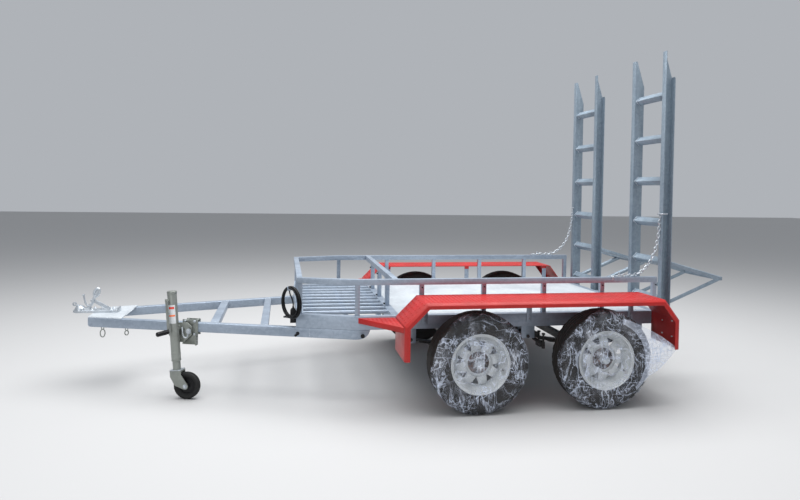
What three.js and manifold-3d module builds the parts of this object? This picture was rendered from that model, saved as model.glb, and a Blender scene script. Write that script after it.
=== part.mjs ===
// Tandem plant trailer: an A-frame drawbar, an open tray with side rails, two sprung axles,
// tread-plate mudguards, a swing-up jockey wheel and two hinged loading ramps.
// Millimetres, +Z up, +X to the rear, left side at -Y. Stations along X are measured from the
// tray's front face while the parts are made, and the whole group is centred at the end.
import * as THREE from 'three';
import Module from 'manifold-3d';
import { mergeVertices } from 'three/addons/utils/BufferGeometryUtils.js';

const wasm = await Module();
wasm.setup();

// ---------------------------------------------------------------- driving dimensions

const GAP = 0.3;              // between pieces that are welded or bolted face to face
const FUSE = 1;               // how far pieces of one weldment run into each other
const WELD_WALL = 5;          // plate and section wall used across the ramps

const tray = {
  width: 1550,                // over the chassis rails
  length: 2545,
  taper: 380,                 // length of the tapered nose of the tray
  floorFront: 629,            // where the floor plate starts, behind the open grille
};
const rail = { wide: 50, high: 90 };
const floor = {
  plate: 4, beamWide: 50, beamHigh: 60, bay: 433, stringerY: 360, stringerWide: 40, stringerHigh: 39,
};
const grille = {
  pipe: 27, count: 9, margin: 61.5, carrierWide: 30, carrierHigh: 20, carrierEnd: 60, lap: 4, overhang: 8,
};
const fence = { height: 242, tube: 38, post: 30, inset: 6, cornerPost: 8 };
const headboard = { post: 30, postY: 388, setBack: 4 };

const drawbar = {
  nose: -1430, noseHalf: 179.605, rearEnd: 480, wide: 50, high: 63, cornerR: 22, sweep: 75,
};
const drawbarTies = [
  { name: 'drawbar_crossmember_front', x: -550, wide: 58, high: 45 },
  { name: 'drawbar_crossmember_rear', x: -211, wide: 52, high: 45 },
];
const nosePlate = { rear: -1190, thick: 8, weldEdge: 6 };
const coupling = {
  ballX: -1530, domeR: 40, wall: 5, domeLift: 12, baseWide: 96, baseThick: 14, rear: -1262, upturn: 22,
  tailWide: 88, tailDeep: 26, tailThick: 10,
  neckLong: 70, neckHalf: 26, neckHigh: 18, ridgeHalf: 20, ridgeHigh: 8, ridgeEnd: 70,
  gussetLong: 50, gussetHigh: 24, gussetHalf: 16, gussetEnd: 68,
  eyeAhead: 38, eyeLift: 46, eyeR: 14, eyeBore: 7, eyeHalf: 7,
};
const lever = {
  behindBall: 76, footHigh: 12, footHalf: 18, stemR: 11, triggerR: 7,
  headRise: 128, headBack: 30, headR: 34, headHole: 20, headThick: 14, headNarrow: 0.7, headLean: 0.55,
};

const tyre = { diameter: 650, width: 185, bead: 356, inboard: 119.5, facets: 24 };
const axles = { front: 1152, rear: 2012, beam: 45, overhang: 15, stub: 34, padHalf: 50, padThick: 10 };
const rim = {
  flangeRise: 19, seatHalf: 64.5, flangeHalf: 78, lipHalf: 84, wall: 8, well: 158, hubBore: 38, disc: 20,
  windows: 8, windowIn: 93, windowOut: 135, windowHalf: 24,
};
const hub = {
  inner: 62, flangeR: 70, barrelR: 37, spigotR: 36.5, capR: 27, capLength: 38, studs: 5, studCircle: 57,
  nutR: 9.5, nutHigh: 20, collar: 14, collarThick: 3,
};

const mudguard = {
  overhang: 35.5, overTyre: 77, thick: 3, lip: 36, chamfer: 14,
  frontReach: 503, frontFlat: 364, rearFlat: 388, rearReach: 494,
  frontBend: 140, frontEnd: 359, rearBend: 138, rearEnd: 331,
  stayWide: 40, stayThick: 6, stayIn: 60, stayFoot: 30,
};
const sideStep = { run: 245, gap: 4, drop: 10, inset: 17, lip: 35, thick: 3 };
const tailLamp = { wide: 150, high: 80, deep: 34, inset: 140, drop: 237 };

const spring = { wide: 56, leaf: 8, leaves: 5, rise: 42, span: 394, eyeR: 18, pinR: 8, bore: 0.5 };
const hanger = {
  cheek: 7, halfLength: 34, drop: 100, eyeDrop: 74.2, cap: 20, centreExtra: 14, centreDrop: 30,
  clearance: 0.5,
};
const rocker = {
  half: 78, tip: 22, springLap: 35, pinLift: 14, bellyHalf: 30, belly: 12, neckHalf: 18, neck: 26,
};

const ramp = {
  edgeInset: 30, width: 456, behind: 85, pivotDrop: 45, length: 1905, cutDrop: 200, cutTop: 14,
  stileDeep: 75, stileWide: 45, pinR: 12, rungLeg: 45, rungInset: 9.5, pinEnd: 3,
};
const rungRise = [105, 385, 670, 975, 1285, 1595];
const prop = { bar: 25, upper: 385, lower: 87, reach: 450, apex: 265, tipFront: 18, tipRear: 8, inset: 8 };
const lug = { thick: 12, radius: 26, clearance: 2.5, bore: 0.6 };

const jockey = {
  pivotX: -700, pivotDrop: 49.7, standOff: 63, ahead: 91, leanDeg: 4.5,
  tubeR: 31, tubeWall: 3, tubeBelow: 245.7, tubeAbove: 218.3, legSlack: 2, legShort: 118,
  forkOver: 11, forkPlate: 8, forkSide: 5, forkGap: 6, spigotR: 12, spigotLong: 12, trail: 65,
  wheelR: 90, wheelWide: 46, pinR: 8,
  swingGap: 14, swingPlate: 7, pivotR: 11, pivotEnd: 44, bore: 0.6,
  crankDrop: 53, crankArm: 210, gripLength: 95, gripR: 12.5, crankTurnDeg: 22,
};

const lead = {
  diameter: 9, coilR: 101, bundleR: 18, coilX: -34, outside: 15, hang: 155, turnDeg: -32, facets: 24,
};
const gland = { radius: 11, length: 22, inside: 180, rise: 46 };
const plug = { x: -20.5, inside: 50, wide: 38, deep: 28, drop: 57, long: 97, neck: 14, neckR: 9 };
const leadHook = { radius: 4, reach: 26, cornerX: -11, tipRise: 24 };

// Across the trailer everything follows the tray's half width.
const trayHalf = tray.width / 2;
const slope = (trayHalf - drawbar.noseHalf) / (tray.taper - drawbar.nose);
const springY = trayHalf - rail.wide;
const wheelY = trayHalf + tyre.inboard + tyre.width / 2;
const guardOuter = wheelY + tyre.width / 2 + mudguard.overhang;
const rampOuter = trayHalf - ramp.edgeInset;
const rampInner = rampOuter - ramp.width;

// Upwards everything is carried by the tyres, the springs and their hangers.
const axleZ = tyre.diameter / 2;
const springTopZ = axleZ + axles.beam / 2 + GAP + spring.leaf * spring.leaves;
const eyeZ = springTopZ + spring.rise - spring.leaf / 2;
const railBottom = eyeZ + hanger.eyeDrop;
const deckZ = railBottom + rail.high;
const fenceTop = deckZ + fence.height;
const drawbarTop = railBottom - GAP;
const drawbarBottom = drawbarTop - drawbar.high;
const guardTop = tyre.diameter + mudguard.overTyre;
const pivotX = tray.length + ramp.behind;
const pivotZ = deckZ - ramp.pivotDrop;

const lengthen = Math.hypot(1, slope);

// Half width at x of the line that the drawbar and the tray's nose share, or of a line set in from it.
function edgeY(x, inset = 0) {
  return Math.min(trayHalf - inset, drawbar.noseHalf + slope * (x - drawbar.nose) - inset * lengthen);
}

// Where that line turns parallel to the trailer.
function kinkX(inset) {
  return drawbar.nose + (trayHalf - inset - drawbar.noseHalf + inset * lengthen) / slope;
}

// Plan outline of a member that follows the edge from x0 to x1, from one inset to another.
function edgeBand(x0, x1, outer, inner) {
  return [
    [x0, edgeY(x0, outer)], [kinkX(outer), edgeY(kinkX(outer), outer)], [x1, edgeY(x1, outer)],
    [x1, edgeY(x1, inner)], [kinkX(inner), edgeY(kinkX(inner), inner)], [x0, edgeY(x0, inner)],
  ];
}

// ---------------------------------------------------------------- materials

function paint(color, roughness, metalness) {
  return new THREE.MeshStandardMaterial({ color, roughness, metalness });
}

const galvanised = paint(0xaab4bf, 0.45, 0.75);
const redPaint = paint(0xc92a22, 0.42, 0.1);
const blackSteel = paint(0x17181a, 0.6, 0.3);
const blackRubber = paint(0x1c1a18, 0.9, 0);
const rimPaint = paint(0xc9cbc9, 0.5, 0.2);
const zincTube = paint(0x8a9190, 0.4, 0.8);
const blackPlastic = paint(0x131313, 0.55, 0);
const lampRed = paint(0x8c0f12, 0.25, 0);
const castSteel = paint(0xb6bdc2, 0.35, 0.85);

// ---------------------------------------------------------------- solid helpers

function flip(geometry) {
  const index = geometry.index.array;
  for (let i = 0; i < index.length; i += 3) {
    const first = index[i];
    index[i] = index[i + 2];
    index[i + 2] = first;
  }
  return geometry;
}

function signedVolume(geometry) {
  const p = geometry.attributes.position;
  const index = geometry.index.array;
  const a = new THREE.Vector3();
  const b = new THREE.Vector3();
  const c = new THREE.Vector3();
  let volume = 0;
  for (let i = 0; i < index.length; i += 3) {
    a.fromBufferAttribute(p, index[i]);
    b.fromBufferAttribute(p, index[i + 1]);
    c.fromBufferAttribute(p, index[i + 2]);
    volume += a.dot(b.cross(c)) / 6;
  }
  return volume;
}

// One closed indexed surface with its faces pointing out.
function closed(geometry) {
  const bare = geometry.clone();
  bare.deleteAttribute('normal');
  bare.deleteAttribute('uv');
  const merged = mergeVertices(bare, 1e-3);
  const kept = [];
  const index = merged.index.array;
  for (let i = 0; i < index.length; i += 3) {
    const [a, b, c] = [index[i], index[i + 1], index[i + 2]];
    if (a !== b && b !== c && c !== a) kept.push(a, b, c);
  }
  merged.setIndex(kept);
  return signedVolume(merged) < 0 ? flip(merged) : merged;
}

function toManifold(geometry) {
  const g = closed(geometry);
  return new wasm.Manifold(new wasm.Mesh({
    numProp: 3,
    vertProperties: new Float32Array(g.attributes.position.array),
    triVerts: new Uint32Array(g.index.array),
  }));
}

function fromManifold(solid) {
  const mesh = solid.getMesh();
  const geometry = new THREE.BufferGeometry();
  geometry.setAttribute('position', new THREE.BufferAttribute(mesh.vertProperties, 3));
  geometry.setIndex(new THREE.BufferAttribute(mesh.triVerts, 1));
  return geometry;
}

function join(...pieces) {
  return fromManifold(pieces.map(toManifold).reduce((all, next) => all.add(next)));
}

function cut(base, ...tools) {
  return fromManifold(tools.map(toManifold).reduce((left, tool) => left.subtract(tool), toManifold(base)));
}

function common(a, b) {
  return fromManifold(toManifold(a).intersect(toManifold(b)));
}

function box(x0, x1, y0, y1, z0, z1) {
  const geometry = new THREE.BoxGeometry(x1 - x0, y1 - y0, z1 - z0);
  return geometry.translate((x0 + x1) / 2, (y0 + y1) / 2, (z0 + z1) / 2);
}

function outline(points) {
  return new THREE.Shape(points.map(([a, b]) => new THREE.Vector2(a, b)));
}

function extrude(shape, depth, bevel = {}) {
  return new THREE.ExtrudeGeometry(shape, { depth, bevelEnabled: false, curveSegments: 6, ...bevel });
}

// A plan outline of (x, y) points, extruded upwards from low to high.
function planPrism(points, low, high) {
  return extrude(outline(points), high - low).translate(0, 0, low);
}

// A side-view outline of (x, z) points, extruded across from y0 to y1.
function sidePrism(points, y0, y1) {
  const shape = points instanceof THREE.Shape ? points : outline(points);
  return extrude(shape, y1 - y0).rotateX(Math.PI / 2).translate(0, y1, 0);
}

// A rod from a to b, round for many sides and square for four.
function rod(a, b, radius, sides = 12) {
  const from = new THREE.Vector3(...a);
  const along = new THREE.Vector3(...b).sub(from);
  const geometry = new THREE.CylinderGeometry(radius, radius, along.length(), sides);
  if (sides === 4) geometry.rotateY(Math.PI / 4);
  const turn = new THREE.Quaternion().setFromUnitVectors(
    new THREE.Vector3(0, 1, 0), along.clone().normalize());
  return geometry.applyQuaternion(turn).translate(...from.addScaledVector(along, 0.5).toArray());
}

// A square bar of the given side that stays upright while it runs from a to b in a plane y = constant.
function squareBar(a, b, side) {
  return rod(a, b, side / Math.SQRT2, 4);
}

// A solid of revolution about a sideways axis, from (radius, across) points, with a flat facet below.
function turned(profile, facets) {
  const points = profile.map(([r, across]) => new THREE.Vector2(r, across));
  return new THREE.LatheGeometry(points, facets, Math.PI / facets);
}

function mirrored(geometry) {
  return flip(closed(geometry).scale(1, -1, 1));
}

// Moves an open line of points sideways by distance, to its left as it runs, with mitred corners.
function offsetLine(points, distance) {
  return points.map((point, i) => {
    const before = new THREE.Vector2(...points[Math.max(i - 1, 0)]);
    const here = new THREE.Vector2(...point);
    const after = new THREE.Vector2(...points[Math.min(i + 1, points.length - 1)]);
    const into = here.clone().sub(before).normalize();
    const out = after.clone().sub(here).normalize();
    if (i === 0) into.copy(out);
    if (i === points.length - 1) out.copy(into);
    const normal = new THREE.Vector2(-into.y - out.y, into.x + out.x).normalize();
    const stretch = 1 / Math.max(normal.dot(new THREE.Vector2(-into.y, into.x)), 0.2);
    return [here.x + normal.x * distance * stretch, here.y + normal.y * distance * stretch];
  });
}

const trailer = new THREE.Group();
const model = new THREE.Group();
model.add(trailer);

function add(name, geometry, material, parent = trailer) {
  const mesh = new THREE.Mesh(closed(geometry), material);
  mesh.name = name;
  parent.add(mesh);
  return mesh;
}

// Adds the same piece on the right, where it was drawn, and mirrored on the left.
function addPair(name, geometry, material) {
  add(`${name}_left`, mirrored(geometry), material);
  add(`${name}_right`, geometry, material);
}

// ---------------------------------------------------------------- tray

const railRear = tray.length - rail.wide;
const bogieX = (axles.front + axles.rear) / 2;
const springSlip = bogieX - axles.front - rocker.springLap;
const slipTopZ = springTopZ + spring.rise * (springSlip / spring.span) ** 2;
const rockerPinZ = slipTopZ + GAP + rocker.pinLift;

function springHanger(x, low, halfLength) {
  const inside = springY - spring.wide / 2 - hanger.clearance;
  const outside = springY + spring.wide / 2 + hanger.clearance;
  const cap = box(x - halfLength, x + halfLength, inside - hanger.cheek, outside + hanger.cheek,
    railBottom - hanger.cap, railBottom + FUSE);
  const cheek = (y) => box(x - halfLength, x + halfLength, y, y + hanger.cheek,
    low, railBottom - hanger.cap + FUSE);
  return [cap, cheek(inside - hanger.cheek), cheek(outside)];
}

function hangerPin(x, z) {
  const reach = spring.wide / 2 + hanger.clearance + hanger.cheek - FUSE;
  return rod([x, springY - reach, z], [x, springY + reach, z], spring.pinR, 12);
}

function chassisRail() {
  const endHangers = [axles.front - spring.span, axles.rear + spring.span];
  return join(
    planPrism(edgeBand(0, railRear - GAP, 0, rail.wide), railBottom, deckZ),
    ...endHangers.flatMap((x) => springHanger(x, railBottom - hanger.drop, hanger.halfLength)),
    ...endHangers.map((x) => hangerPin(x, eyeZ)),
    ...springHanger(bogieX, rockerPinZ - hanger.centreDrop, hanger.halfLength + hanger.centreExtra),
    hangerPin(bogieX, rockerPinZ),
  );
}
addPair('chassis_rail', chassisRail(), galvanised);

// A tie that fills the width between the two sides' inner faces at its station.
function crossTie(front, rear, sideWide, low, high) {
  const inset = sideWide + GAP;
  return planPrism([
    [front, -edgeY(front, inset)], [rear, -edgeY(rear, inset)],
    [rear, edgeY(rear, inset)], [front, edgeY(front, inset)],
  ], low, high);
}
add('front_crossmember', crossTie(0, rail.wide, rail.wide, railBottom, deckZ), galvanised);

// The rear crossmember closes the tray across its full width and carries the ramps' hinge lugs.
function rampLug(y) {
  const round = new THREE.Shape();
  round.moveTo(tray.length - FUSE, pivotZ - lug.radius);
  round.lineTo(pivotX, pivotZ - lug.radius);
  round.absarc(pivotX, pivotZ, lug.radius, -Math.PI / 2, Math.PI / 2, false);
  round.lineTo(tray.length - FUSE, pivotZ + lug.radius);
  const hole = rod([pivotX, y - 5, pivotZ], [pivotX, y + lug.thick + 5, pivotZ],
    ramp.pinR + lug.bore, 16);
  return cut(sidePrism(round, y, y + lug.thick), hole);
}

const lugY = [rampInner - lug.clearance - lug.thick, rampOuter + lug.clearance];
add('rear_crossmember', join(
  box(railRear, tray.length, -trayHalf, trayHalf, railBottom, deckZ),
  ...lugY.map(rampLug),
  ...lugY.map((y) => mirrored(rampLug(y))),
), galvanised);

const insideY = trayHalf - rail.wide - GAP;
const floorFront = tray.floorFront;
const floorRear = railRear - GAP;
const beamTop = deckZ - floor.plate - GAP;

// The first beam stands as high as the floor plate, which starts behind it, and carries the headboard.
const plateFront = floorFront + floor.beamWide + GAP;
function floorFrame() {
  const beams = [box(floorFront, plateFront - GAP, -insideY, insideY, beamTop - floor.beamHigh, deckZ)];
  for (let x = floorFront + floor.bay; x < floorRear - floor.beamWide; x += floor.bay) {
    beams.push(box(x, x + floor.beamWide, -insideY, insideY, beamTop - floor.beamHigh, beamTop));
  }
  const stringers = [-floor.stringerY, 0, floor.stringerY].map((y) => box(
    floorFront + FUSE, floorRear, y - floor.stringerWide / 2, y + floor.stringerWide / 2,
    beamTop - FUSE - floor.stringerHigh, beamTop - FUSE));
  return join(...beams, ...stringers);
}
add('floor_frame', floorFrame(), galvanised);
add('floor_plate', box(plateFront, floorRear, -insideY, insideY, deckZ - floor.plate, deckZ),
  galvanised);

function frontGrille() {
  const front = rail.wide + GAP;
  const rear = floorFront - GAP;
  const pipeZ = deckZ - grille.pipe / 2;
  const reach = edgeY(front, rail.wide + GAP) - grille.margin;
  const pitch = 2 * reach / (grille.count - 1);
  const pieces = [];
  for (let i = 0; i < grille.count; i += 1) {
    const y = i * pitch - reach;
    pieces.push(rod([front, y, pipeZ], [rear, y, pipeZ], grille.pipe / 2, 8));
  }
  const carrierTop = pipeZ - grille.pipe / 2 + grille.lap;
  for (const x of [front + grille.carrierEnd, (front + rear) / 2, rear - grille.carrierEnd]) {
    pieces.push(box(x - grille.carrierWide / 2, x + grille.carrierWide / 2,
      -reach - grille.overhang, reach + grille.overhang, carrierTop - grille.carrierHigh, carrierTop));
  }
  return join(...pieces);
}
add('front_grille', frontGrille(), galvanised);

// Side rails: one top tube that follows the tray's edge, on posts that stand on the chassis rail.
const postStations = [0, 1, 2, 3, 4].map((i) => tray.taper + i * floor.bay);
const lastPostX = tray.length - fence.post;

const postInset = fence.inset + (fence.tube - fence.post) / 2;

function uprightPost(x) {
  const outer = edgeY(x, postInset);
  return box(x, x + fence.post, outer - fence.post, outer, deckZ + GAP, fenceTop - fence.tube + FUSE);
}

function sideRail() {
  const top = planPrism(edgeBand(0, tray.length, fence.inset, fence.inset + fence.tube),
    fenceTop - fence.tube, fenceTop);
  return join(top, ...[fence.cornerPost, ...postStations, lastPostX].map(uprightPost));
}
addPair('side_rail', sideRail(), galvanised);

// The front rail carries a rod hook that passes through the top of the coiled lead.
const frontRailHalf = edgeY(0, fence.inset + fence.tube + GAP);
const cornerY = -edgeY(0);
const coilY = cornerY - lead.outside;
const coilZ = fenceTop - lead.hang;
const coilTurn = THREE.MathUtils.degToRad(lead.turnDeg);
function leadHookRod() {
  const { radius, reach, cornerX, tipRise } = leadHook;
  const hookZ = coilZ + (lead.coilR - lead.bundleR) * Math.cos(Math.PI / lead.facets) - radius - GAP;
  const along = (distance, z) => [
    lead.coilX - distance * Math.cos(coilTurn), coilY + distance * Math.sin(coilTurn), z,
  ];
  const rootZ = fenceTop - fence.tube + radius * 2;
  const route = [
    [FUSE, -frontRailHalf + radius * 3, rootZ], [cornerX, -frontRailHalf + radius, rootZ - 2],
    along(-reach, hookZ), along(reach, hookZ), along(reach + radius, hookZ + tipRise),
  ];
  const knuckles = route.slice(1, -1).map((p) => new THREE.SphereGeometry(radius, 8, 6).translate(...p));
  return [...route.slice(1).map((p, i) => rod(route[i], p, radius, 8)), ...knuckles];
}

function frontRail() {
  const top = box(0, fence.tube, -frontRailHalf, frontRailHalf, fenceTop - fence.tube, fenceTop);
  const posts = [-1, 1].map((side) => {
    const y = side * frontRailHalf / 3;
    const x = postInset - fence.inset;
    return box(x, x + fence.post, y - fence.post / 2, y + fence.post / 2,
      deckZ + GAP, fenceTop - fence.tube + FUSE);
  });
  return join(top, ...posts, ...leadHookRod());
}
add('front_rail', frontRail(), galvanised);

function headboardFrame() {
  const x = floorFront + headboard.setBack;
  const reach = trayHalf - fence.inset - fence.tube - GAP;
  const top = box(x, x + fence.tube, -reach, reach, fenceTop - fence.tube, fenceTop);
  const [front, rear] = [-1, 1].map((side) => x + (fence.tube + side * headboard.post) / 2);
  const posts = [-headboard.postY, 0, headboard.postY].map((y) => box(front, rear,
    y - headboard.post / 2, y + headboard.post / 2, deckZ + GAP, fenceTop - fence.tube + FUSE));
  return join(top, ...posts);
}
add('headboard', headboardFrame(), galvanised);

// ---------------------------------------------------------------- drawbar and coupling

// Side view of a drawbar rail: a rounded lower corner at the nose and a swept-up rear end.
function drawbarSide() {
  const shape = new THREE.Shape();
  shape.moveTo(drawbar.nose, drawbarTop);
  shape.lineTo(drawbar.nose, drawbarBottom + drawbar.cornerR);
  shape.quadraticCurveTo(drawbar.nose, drawbarBottom, drawbar.nose + drawbar.cornerR, drawbarBottom);
  shape.lineTo(drawbar.rearEnd - drawbar.sweep, drawbarBottom);
  shape.quadraticCurveTo(drawbar.rearEnd - 10, drawbarBottom + 6, drawbar.rearEnd, drawbarTop);
  return shape;
}

function drawbarRail() {
  const plan = edgeBand(drawbar.nose - 10, drawbar.rearEnd + 10, 0, drawbar.wide);
  const bar = planPrism(plan, drawbarBottom - 5, drawbarTop + 5);
  return common(bar, sidePrism(drawbarSide(), 0, trayHalf + 10));
}
addPair('drawbar_rail', drawbarRail(), galvanised);

for (const tie of drawbarTies) {
  add(tie.name, crossTie(tie.x - tie.wide / 2, tie.x + tie.wide / 2, drawbar.wide,
    drawbarTop - tie.high, drawbarTop), galvanised);
}

const plateTop = drawbarTop + GAP + nosePlate.thick;
add('nose_plate', crossTie(drawbar.nose, nosePlate.rear, nosePlate.weldEdge, drawbarTop + GAP, plateTop),
  galvanised);

// Ball coupling: a flat tongue with a hollow dome over the ball at the front and an upturned tail.
const tongueLow = plateTop + GAP;
const tongueTop = tongueLow + coupling.baseThick;

function couplingBody() {
  const { ballX, rear, domeR, wall } = coupling;
  const half = coupling.baseWide / 2;
  const domeZ = tongueLow + coupling.domeLift;
  const plan = new THREE.Shape();
  plan.moveTo(rear, -half);
  plan.lineTo(rear, half);
  plan.lineTo(ballX, half);
  plan.absarc(ballX, 0, half, Math.PI / 2, Math.PI * 1.5, false);
  const tongue = extrude(plan, coupling.baseThick).translate(0, 0, tongueLow);
  const tailTop = tongueLow + coupling.upturn + coupling.tailThick;
  const tail = sidePrism([
    [rear - coupling.tailDeep, tongueLow + FUSE], [rear, tongueLow + FUSE],
    [rear, tailTop], [rear - coupling.tailThick, tailTop],
  ], -coupling.tailWide / 2, coupling.tailWide / 2);
  const dome = new THREE.SphereGeometry(domeR, 14, 8).translate(ballX, 0, domeZ);
  const neck = box(ballX, ballX + coupling.neckLong, -coupling.neckHalf, coupling.neckHalf,
    tongueLow, tongueTop + coupling.neckHigh);
  const ridge = box(ballX + coupling.neckLong - FUSE, rear - coupling.ridgeEnd,
    -coupling.ridgeHalf, coupling.ridgeHalf, tongueLow, tongueTop + coupling.ridgeHigh);
  const gussetFront = rear - coupling.gussetEnd - coupling.gussetLong;
  const gusset = sidePrism([
    [gussetFront, tongueTop - FUSE], [rear - coupling.gussetEnd, tongueTop - FUSE],
    [gussetFront, tongueTop + coupling.gussetHigh],
  ], -coupling.gussetHalf, coupling.gussetHalf);
  const eyeX = ballX - coupling.eyeAhead;
  const eyeMidZ = domeZ + coupling.eyeLift;
  const eye = rod([eyeX, -coupling.eyeHalf, eyeMidZ], [eyeX, coupling.eyeHalf, eyeMidZ], coupling.eyeR, 12);
  const eyeArm = rod([eyeX, 0, eyeMidZ - coupling.eyeR / 2], [ballX - domeR / 4, 0, domeZ + domeR - wall],
    coupling.eyeHalf, 8);
  const eyeBore = rod([eyeX, -domeR, eyeMidZ], [eyeX, domeR, eyeMidZ], coupling.eyeBore, 10);
  const ball = new THREE.SphereGeometry(domeR - wall, 14, 8).translate(ballX, 0, domeZ);
  const mouth = rod([ballX, 0, tongueLow - domeR], [ballX, 0, domeZ], domeR - wall, 14);
  const below = box(ballX - 2 * domeR, rear + FUSE, -coupling.baseWide, coupling.baseWide,
    tongueLow - 2 * domeR, tongueLow);
  const body = join(tongue, tail, dome, neck, ridge, gusset, eye, eyeArm);
  return cut(body, ball, mouth, below, eyeBore);
}
add('coupling_body', couplingBody(), castSteel);

// The release lever stands on the tongue just behind the dome, with its trigger in front of it.
const leverX = coupling.ballX + lever.behindBall;
const leverFoot = tongueTop + coupling.neckHigh + GAP;
function couplingLever() {
  const footFront = leverX - lever.stemR - lever.footHalf;
  const foot = box(footFront, footFront + 20, -lever.footHalf, lever.footHalf,
    leverFoot, leverFoot + lever.footHigh);
  const stem = rod([leverX - lever.footHalf, 0, leverFoot + lever.footHigh / 2],
    [leverX + lever.footHigh, 0, leverFoot + lever.headRise - lever.headR + 2], lever.stemR, 8);
  const disc = (radius, thick, sides) => new THREE.CylinderGeometry(radius, radius, thick, sides)
    .scale(lever.headNarrow, 1, 1).rotateY(lever.headLean)
    .translate(leverX + lever.headBack, 0, leverFoot + lever.headRise - lever.footHigh / 2);
  const trigger = rod([leverX - 14, 0, leverFoot + lever.footHigh], [leverX - 42, 0, leverFoot + 104],
    lever.triggerR, 8);
  return cut(join(foot, stem, disc(lever.headR, lever.headThick, 18), trigger),
    disc(lever.headHole, 2 * lever.headThick, 14));
}
add('coupling_lever', couplingLever(), castSteel);

// ---------------------------------------------------------------- mudguards, steps and lamps

const guardFront = axles.front - mudguard.frontReach;
const guardRear = axles.rear + mudguard.rearReach;
const flatFront = axles.front - mudguard.frontFlat;
const flatRear = axles.rear + mudguard.rearFlat;
const guardPath = [
  [guardFront, guardTop - mudguard.frontEnd], [guardFront, guardTop - mudguard.frontBend],
  [flatFront, guardTop], [flatRear, guardTop],
  [guardRear, guardTop - mudguard.rearBend], [guardRear, guardTop - mudguard.rearEnd],
];

function guardOutline(inset, spill) {
  const path = offsetLine(guardPath, -inset);
  path[0][1] -= spill;
  path[path.length - 1][1] -= spill;
  return outline(path);
}

// The sheet is a bent strip with a chamfered outer edge and a lip turned down along it.
function guardBlock(inset, spill, outerFace) {
  const chamfer = mudguard.chamfer;
  const reach = outerFace - trayHalf - GAP;
  const core = extrude(guardOutline(inset + chamfer, spill), reach - chamfer, {
    bevelEnabled: true, bevelSegments: 1, bevelSize: chamfer, bevelThickness: chamfer,
  });
  return core.rotateX(Math.PI / 2).translate(0, outerFace - chamfer, 0);
}

// The sheet is hollowed from below, opened under its lip and stood on three stays on the rail.
function mudguardSheet() {
  const spare = 60;
  const low = guardTop - Math.max(mudguard.frontEnd, mudguard.rearEnd) - 2 * spare;
  const outside = guardBlock(0, 0, guardOuter);
  const inside = guardBlock(mudguard.thick, spare, guardOuter - mudguard.thick);
  const window = sidePrism(guardOutline(mudguard.lip, spare), trayHalf - spare, guardOuter + spare);
  const trim = box(guardFront - spare, guardRear + spare, trayHalf - spare, trayHalf + GAP,
    low, guardTop + spare);
  const endCuts = [
    box(guardFront - spare, guardFront + 2 * spare, trayHalf - spare, guardOuter + spare,
      low, guardTop - mudguard.frontEnd),
    box(guardRear - 2 * spare, guardRear + spare, trayHalf - spare, guardOuter + spare,
      low, guardTop - mudguard.rearEnd),
  ];
  const stayInner = trayHalf + GAP;
  const stays = [flatFront + mudguard.stayIn, bogieX, flatRear - mudguard.stayIn].map((x) => box(
    x - mudguard.stayWide / 2, x + mudguard.stayWide / 2, stayInner, stayInner + mudguard.stayThick,
    railBottom + mudguard.stayFoot, guardTop - FUSE));
  return join(cut(outside, inside, window, trim, ...endCuts), ...stays);
}
addPair('mudguard', mudguardSheet(), redPaint);

// A triangular step with a lip folded down along its sloping front edge.
const stepRear = guardFront - sideStep.gap;
const stepFront = stepRear - sideStep.run;
const stepOuter = guardOuter - sideStep.inset;
const stepTop = deckZ - sideStep.drop;
function sideStepPlate() {
  const inner = trayHalf + GAP;
  const rise = stepOuter - inner;
  const shift = sideStep.thick * Math.hypot(sideStep.run, rise) / rise;
  const extra = 20;
  const plate = planPrism([[stepFront, inner], [stepRear, inner], [stepRear, stepOuter]],
    stepTop - sideStep.lip, stepTop);
  const pocket = planPrism([
    [stepFront + shift - extra * sideStep.run / rise, inner - extra], [stepRear + extra, inner - extra],
    [stepRear + extra, stepOuter + (extra - shift) * rise / sideStep.run],
  ], stepTop - sideStep.lip - extra, stepTop - sideStep.thick);
  return cut(plate, pocket);
}
addPair('side_step', sideStepPlate(), redPaint);

const lampY = guardOuter - tailLamp.inset;
const lampZ = guardTop - tailLamp.drop;
addPair('tail_lamp', box(guardRear + GAP, guardRear + GAP + tailLamp.deep,
  lampY - tailLamp.wide / 2, lampY + tailLamp.wide / 2,
  lampZ - tailLamp.high / 2, lampZ + tailLamp.high / 2), lampRed);

// ---------------------------------------------------------------- suspension and axles

// Leaf pack as one stepped outline: the main leaf ends in an eye at its hanger and slides under the
// rocker at its other end, and each leaf below it is shorter.
function leafSpring(axleX, towardEye) {
  const curve = (x) => springTopZ + spring.rise * (x / spring.span) ** 2;
  const ends = [spring.span, springSlip];
  const reach = (end, leaf) => ends[end] * (leaf === 0 ? 1 : 0.86 - 0.17 * (leaf - 1));
  const top = [];
  for (let i = -4; i <= 4; i += 1) {
    const x = i > 0 ? spring.span * i / 4 : springSlip * i / 4;
    top.push([x, curve(x)]);
  }
  const steps = (end, sign) => {
    const points = [];
    for (let leaf = 0; leaf < spring.leaves; leaf += 1) {
      const x = reach(end, leaf);
      const top = curve(x) - spring.leaf * leaf;
      points.push([sign * x, top], [sign * x, top - spring.leaf]);
    }
    return points.slice(1);
  };
  const profile = [...top, ...steps(0, 1), ...steps(1, -1).reverse()];
  const across = [springY - spring.wide / 2, springY + spring.wide / 2];
  const placed = profile.map(([x, z]) => [axleX + towardEye * x, z]);
  const eyeX = axleX + towardEye * spring.span;
  const eye = rod([eyeX, across[0], eyeZ], [eyeX, across[1], eyeZ], spring.eyeR, 12);
  const bore = rod([eyeX, across[0] - 5, eyeZ], [eyeX, across[1] + 5, eyeZ], spring.pinR + spring.bore, 12);
  return cut(join(sidePrism(placed, ...across), eye), bore);
}
addPair('leaf_spring_front', leafSpring(axles.front, -1), blackSteel);
addPair('leaf_spring_rear', leafSpring(axles.rear, 1), blackSteel);

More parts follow.
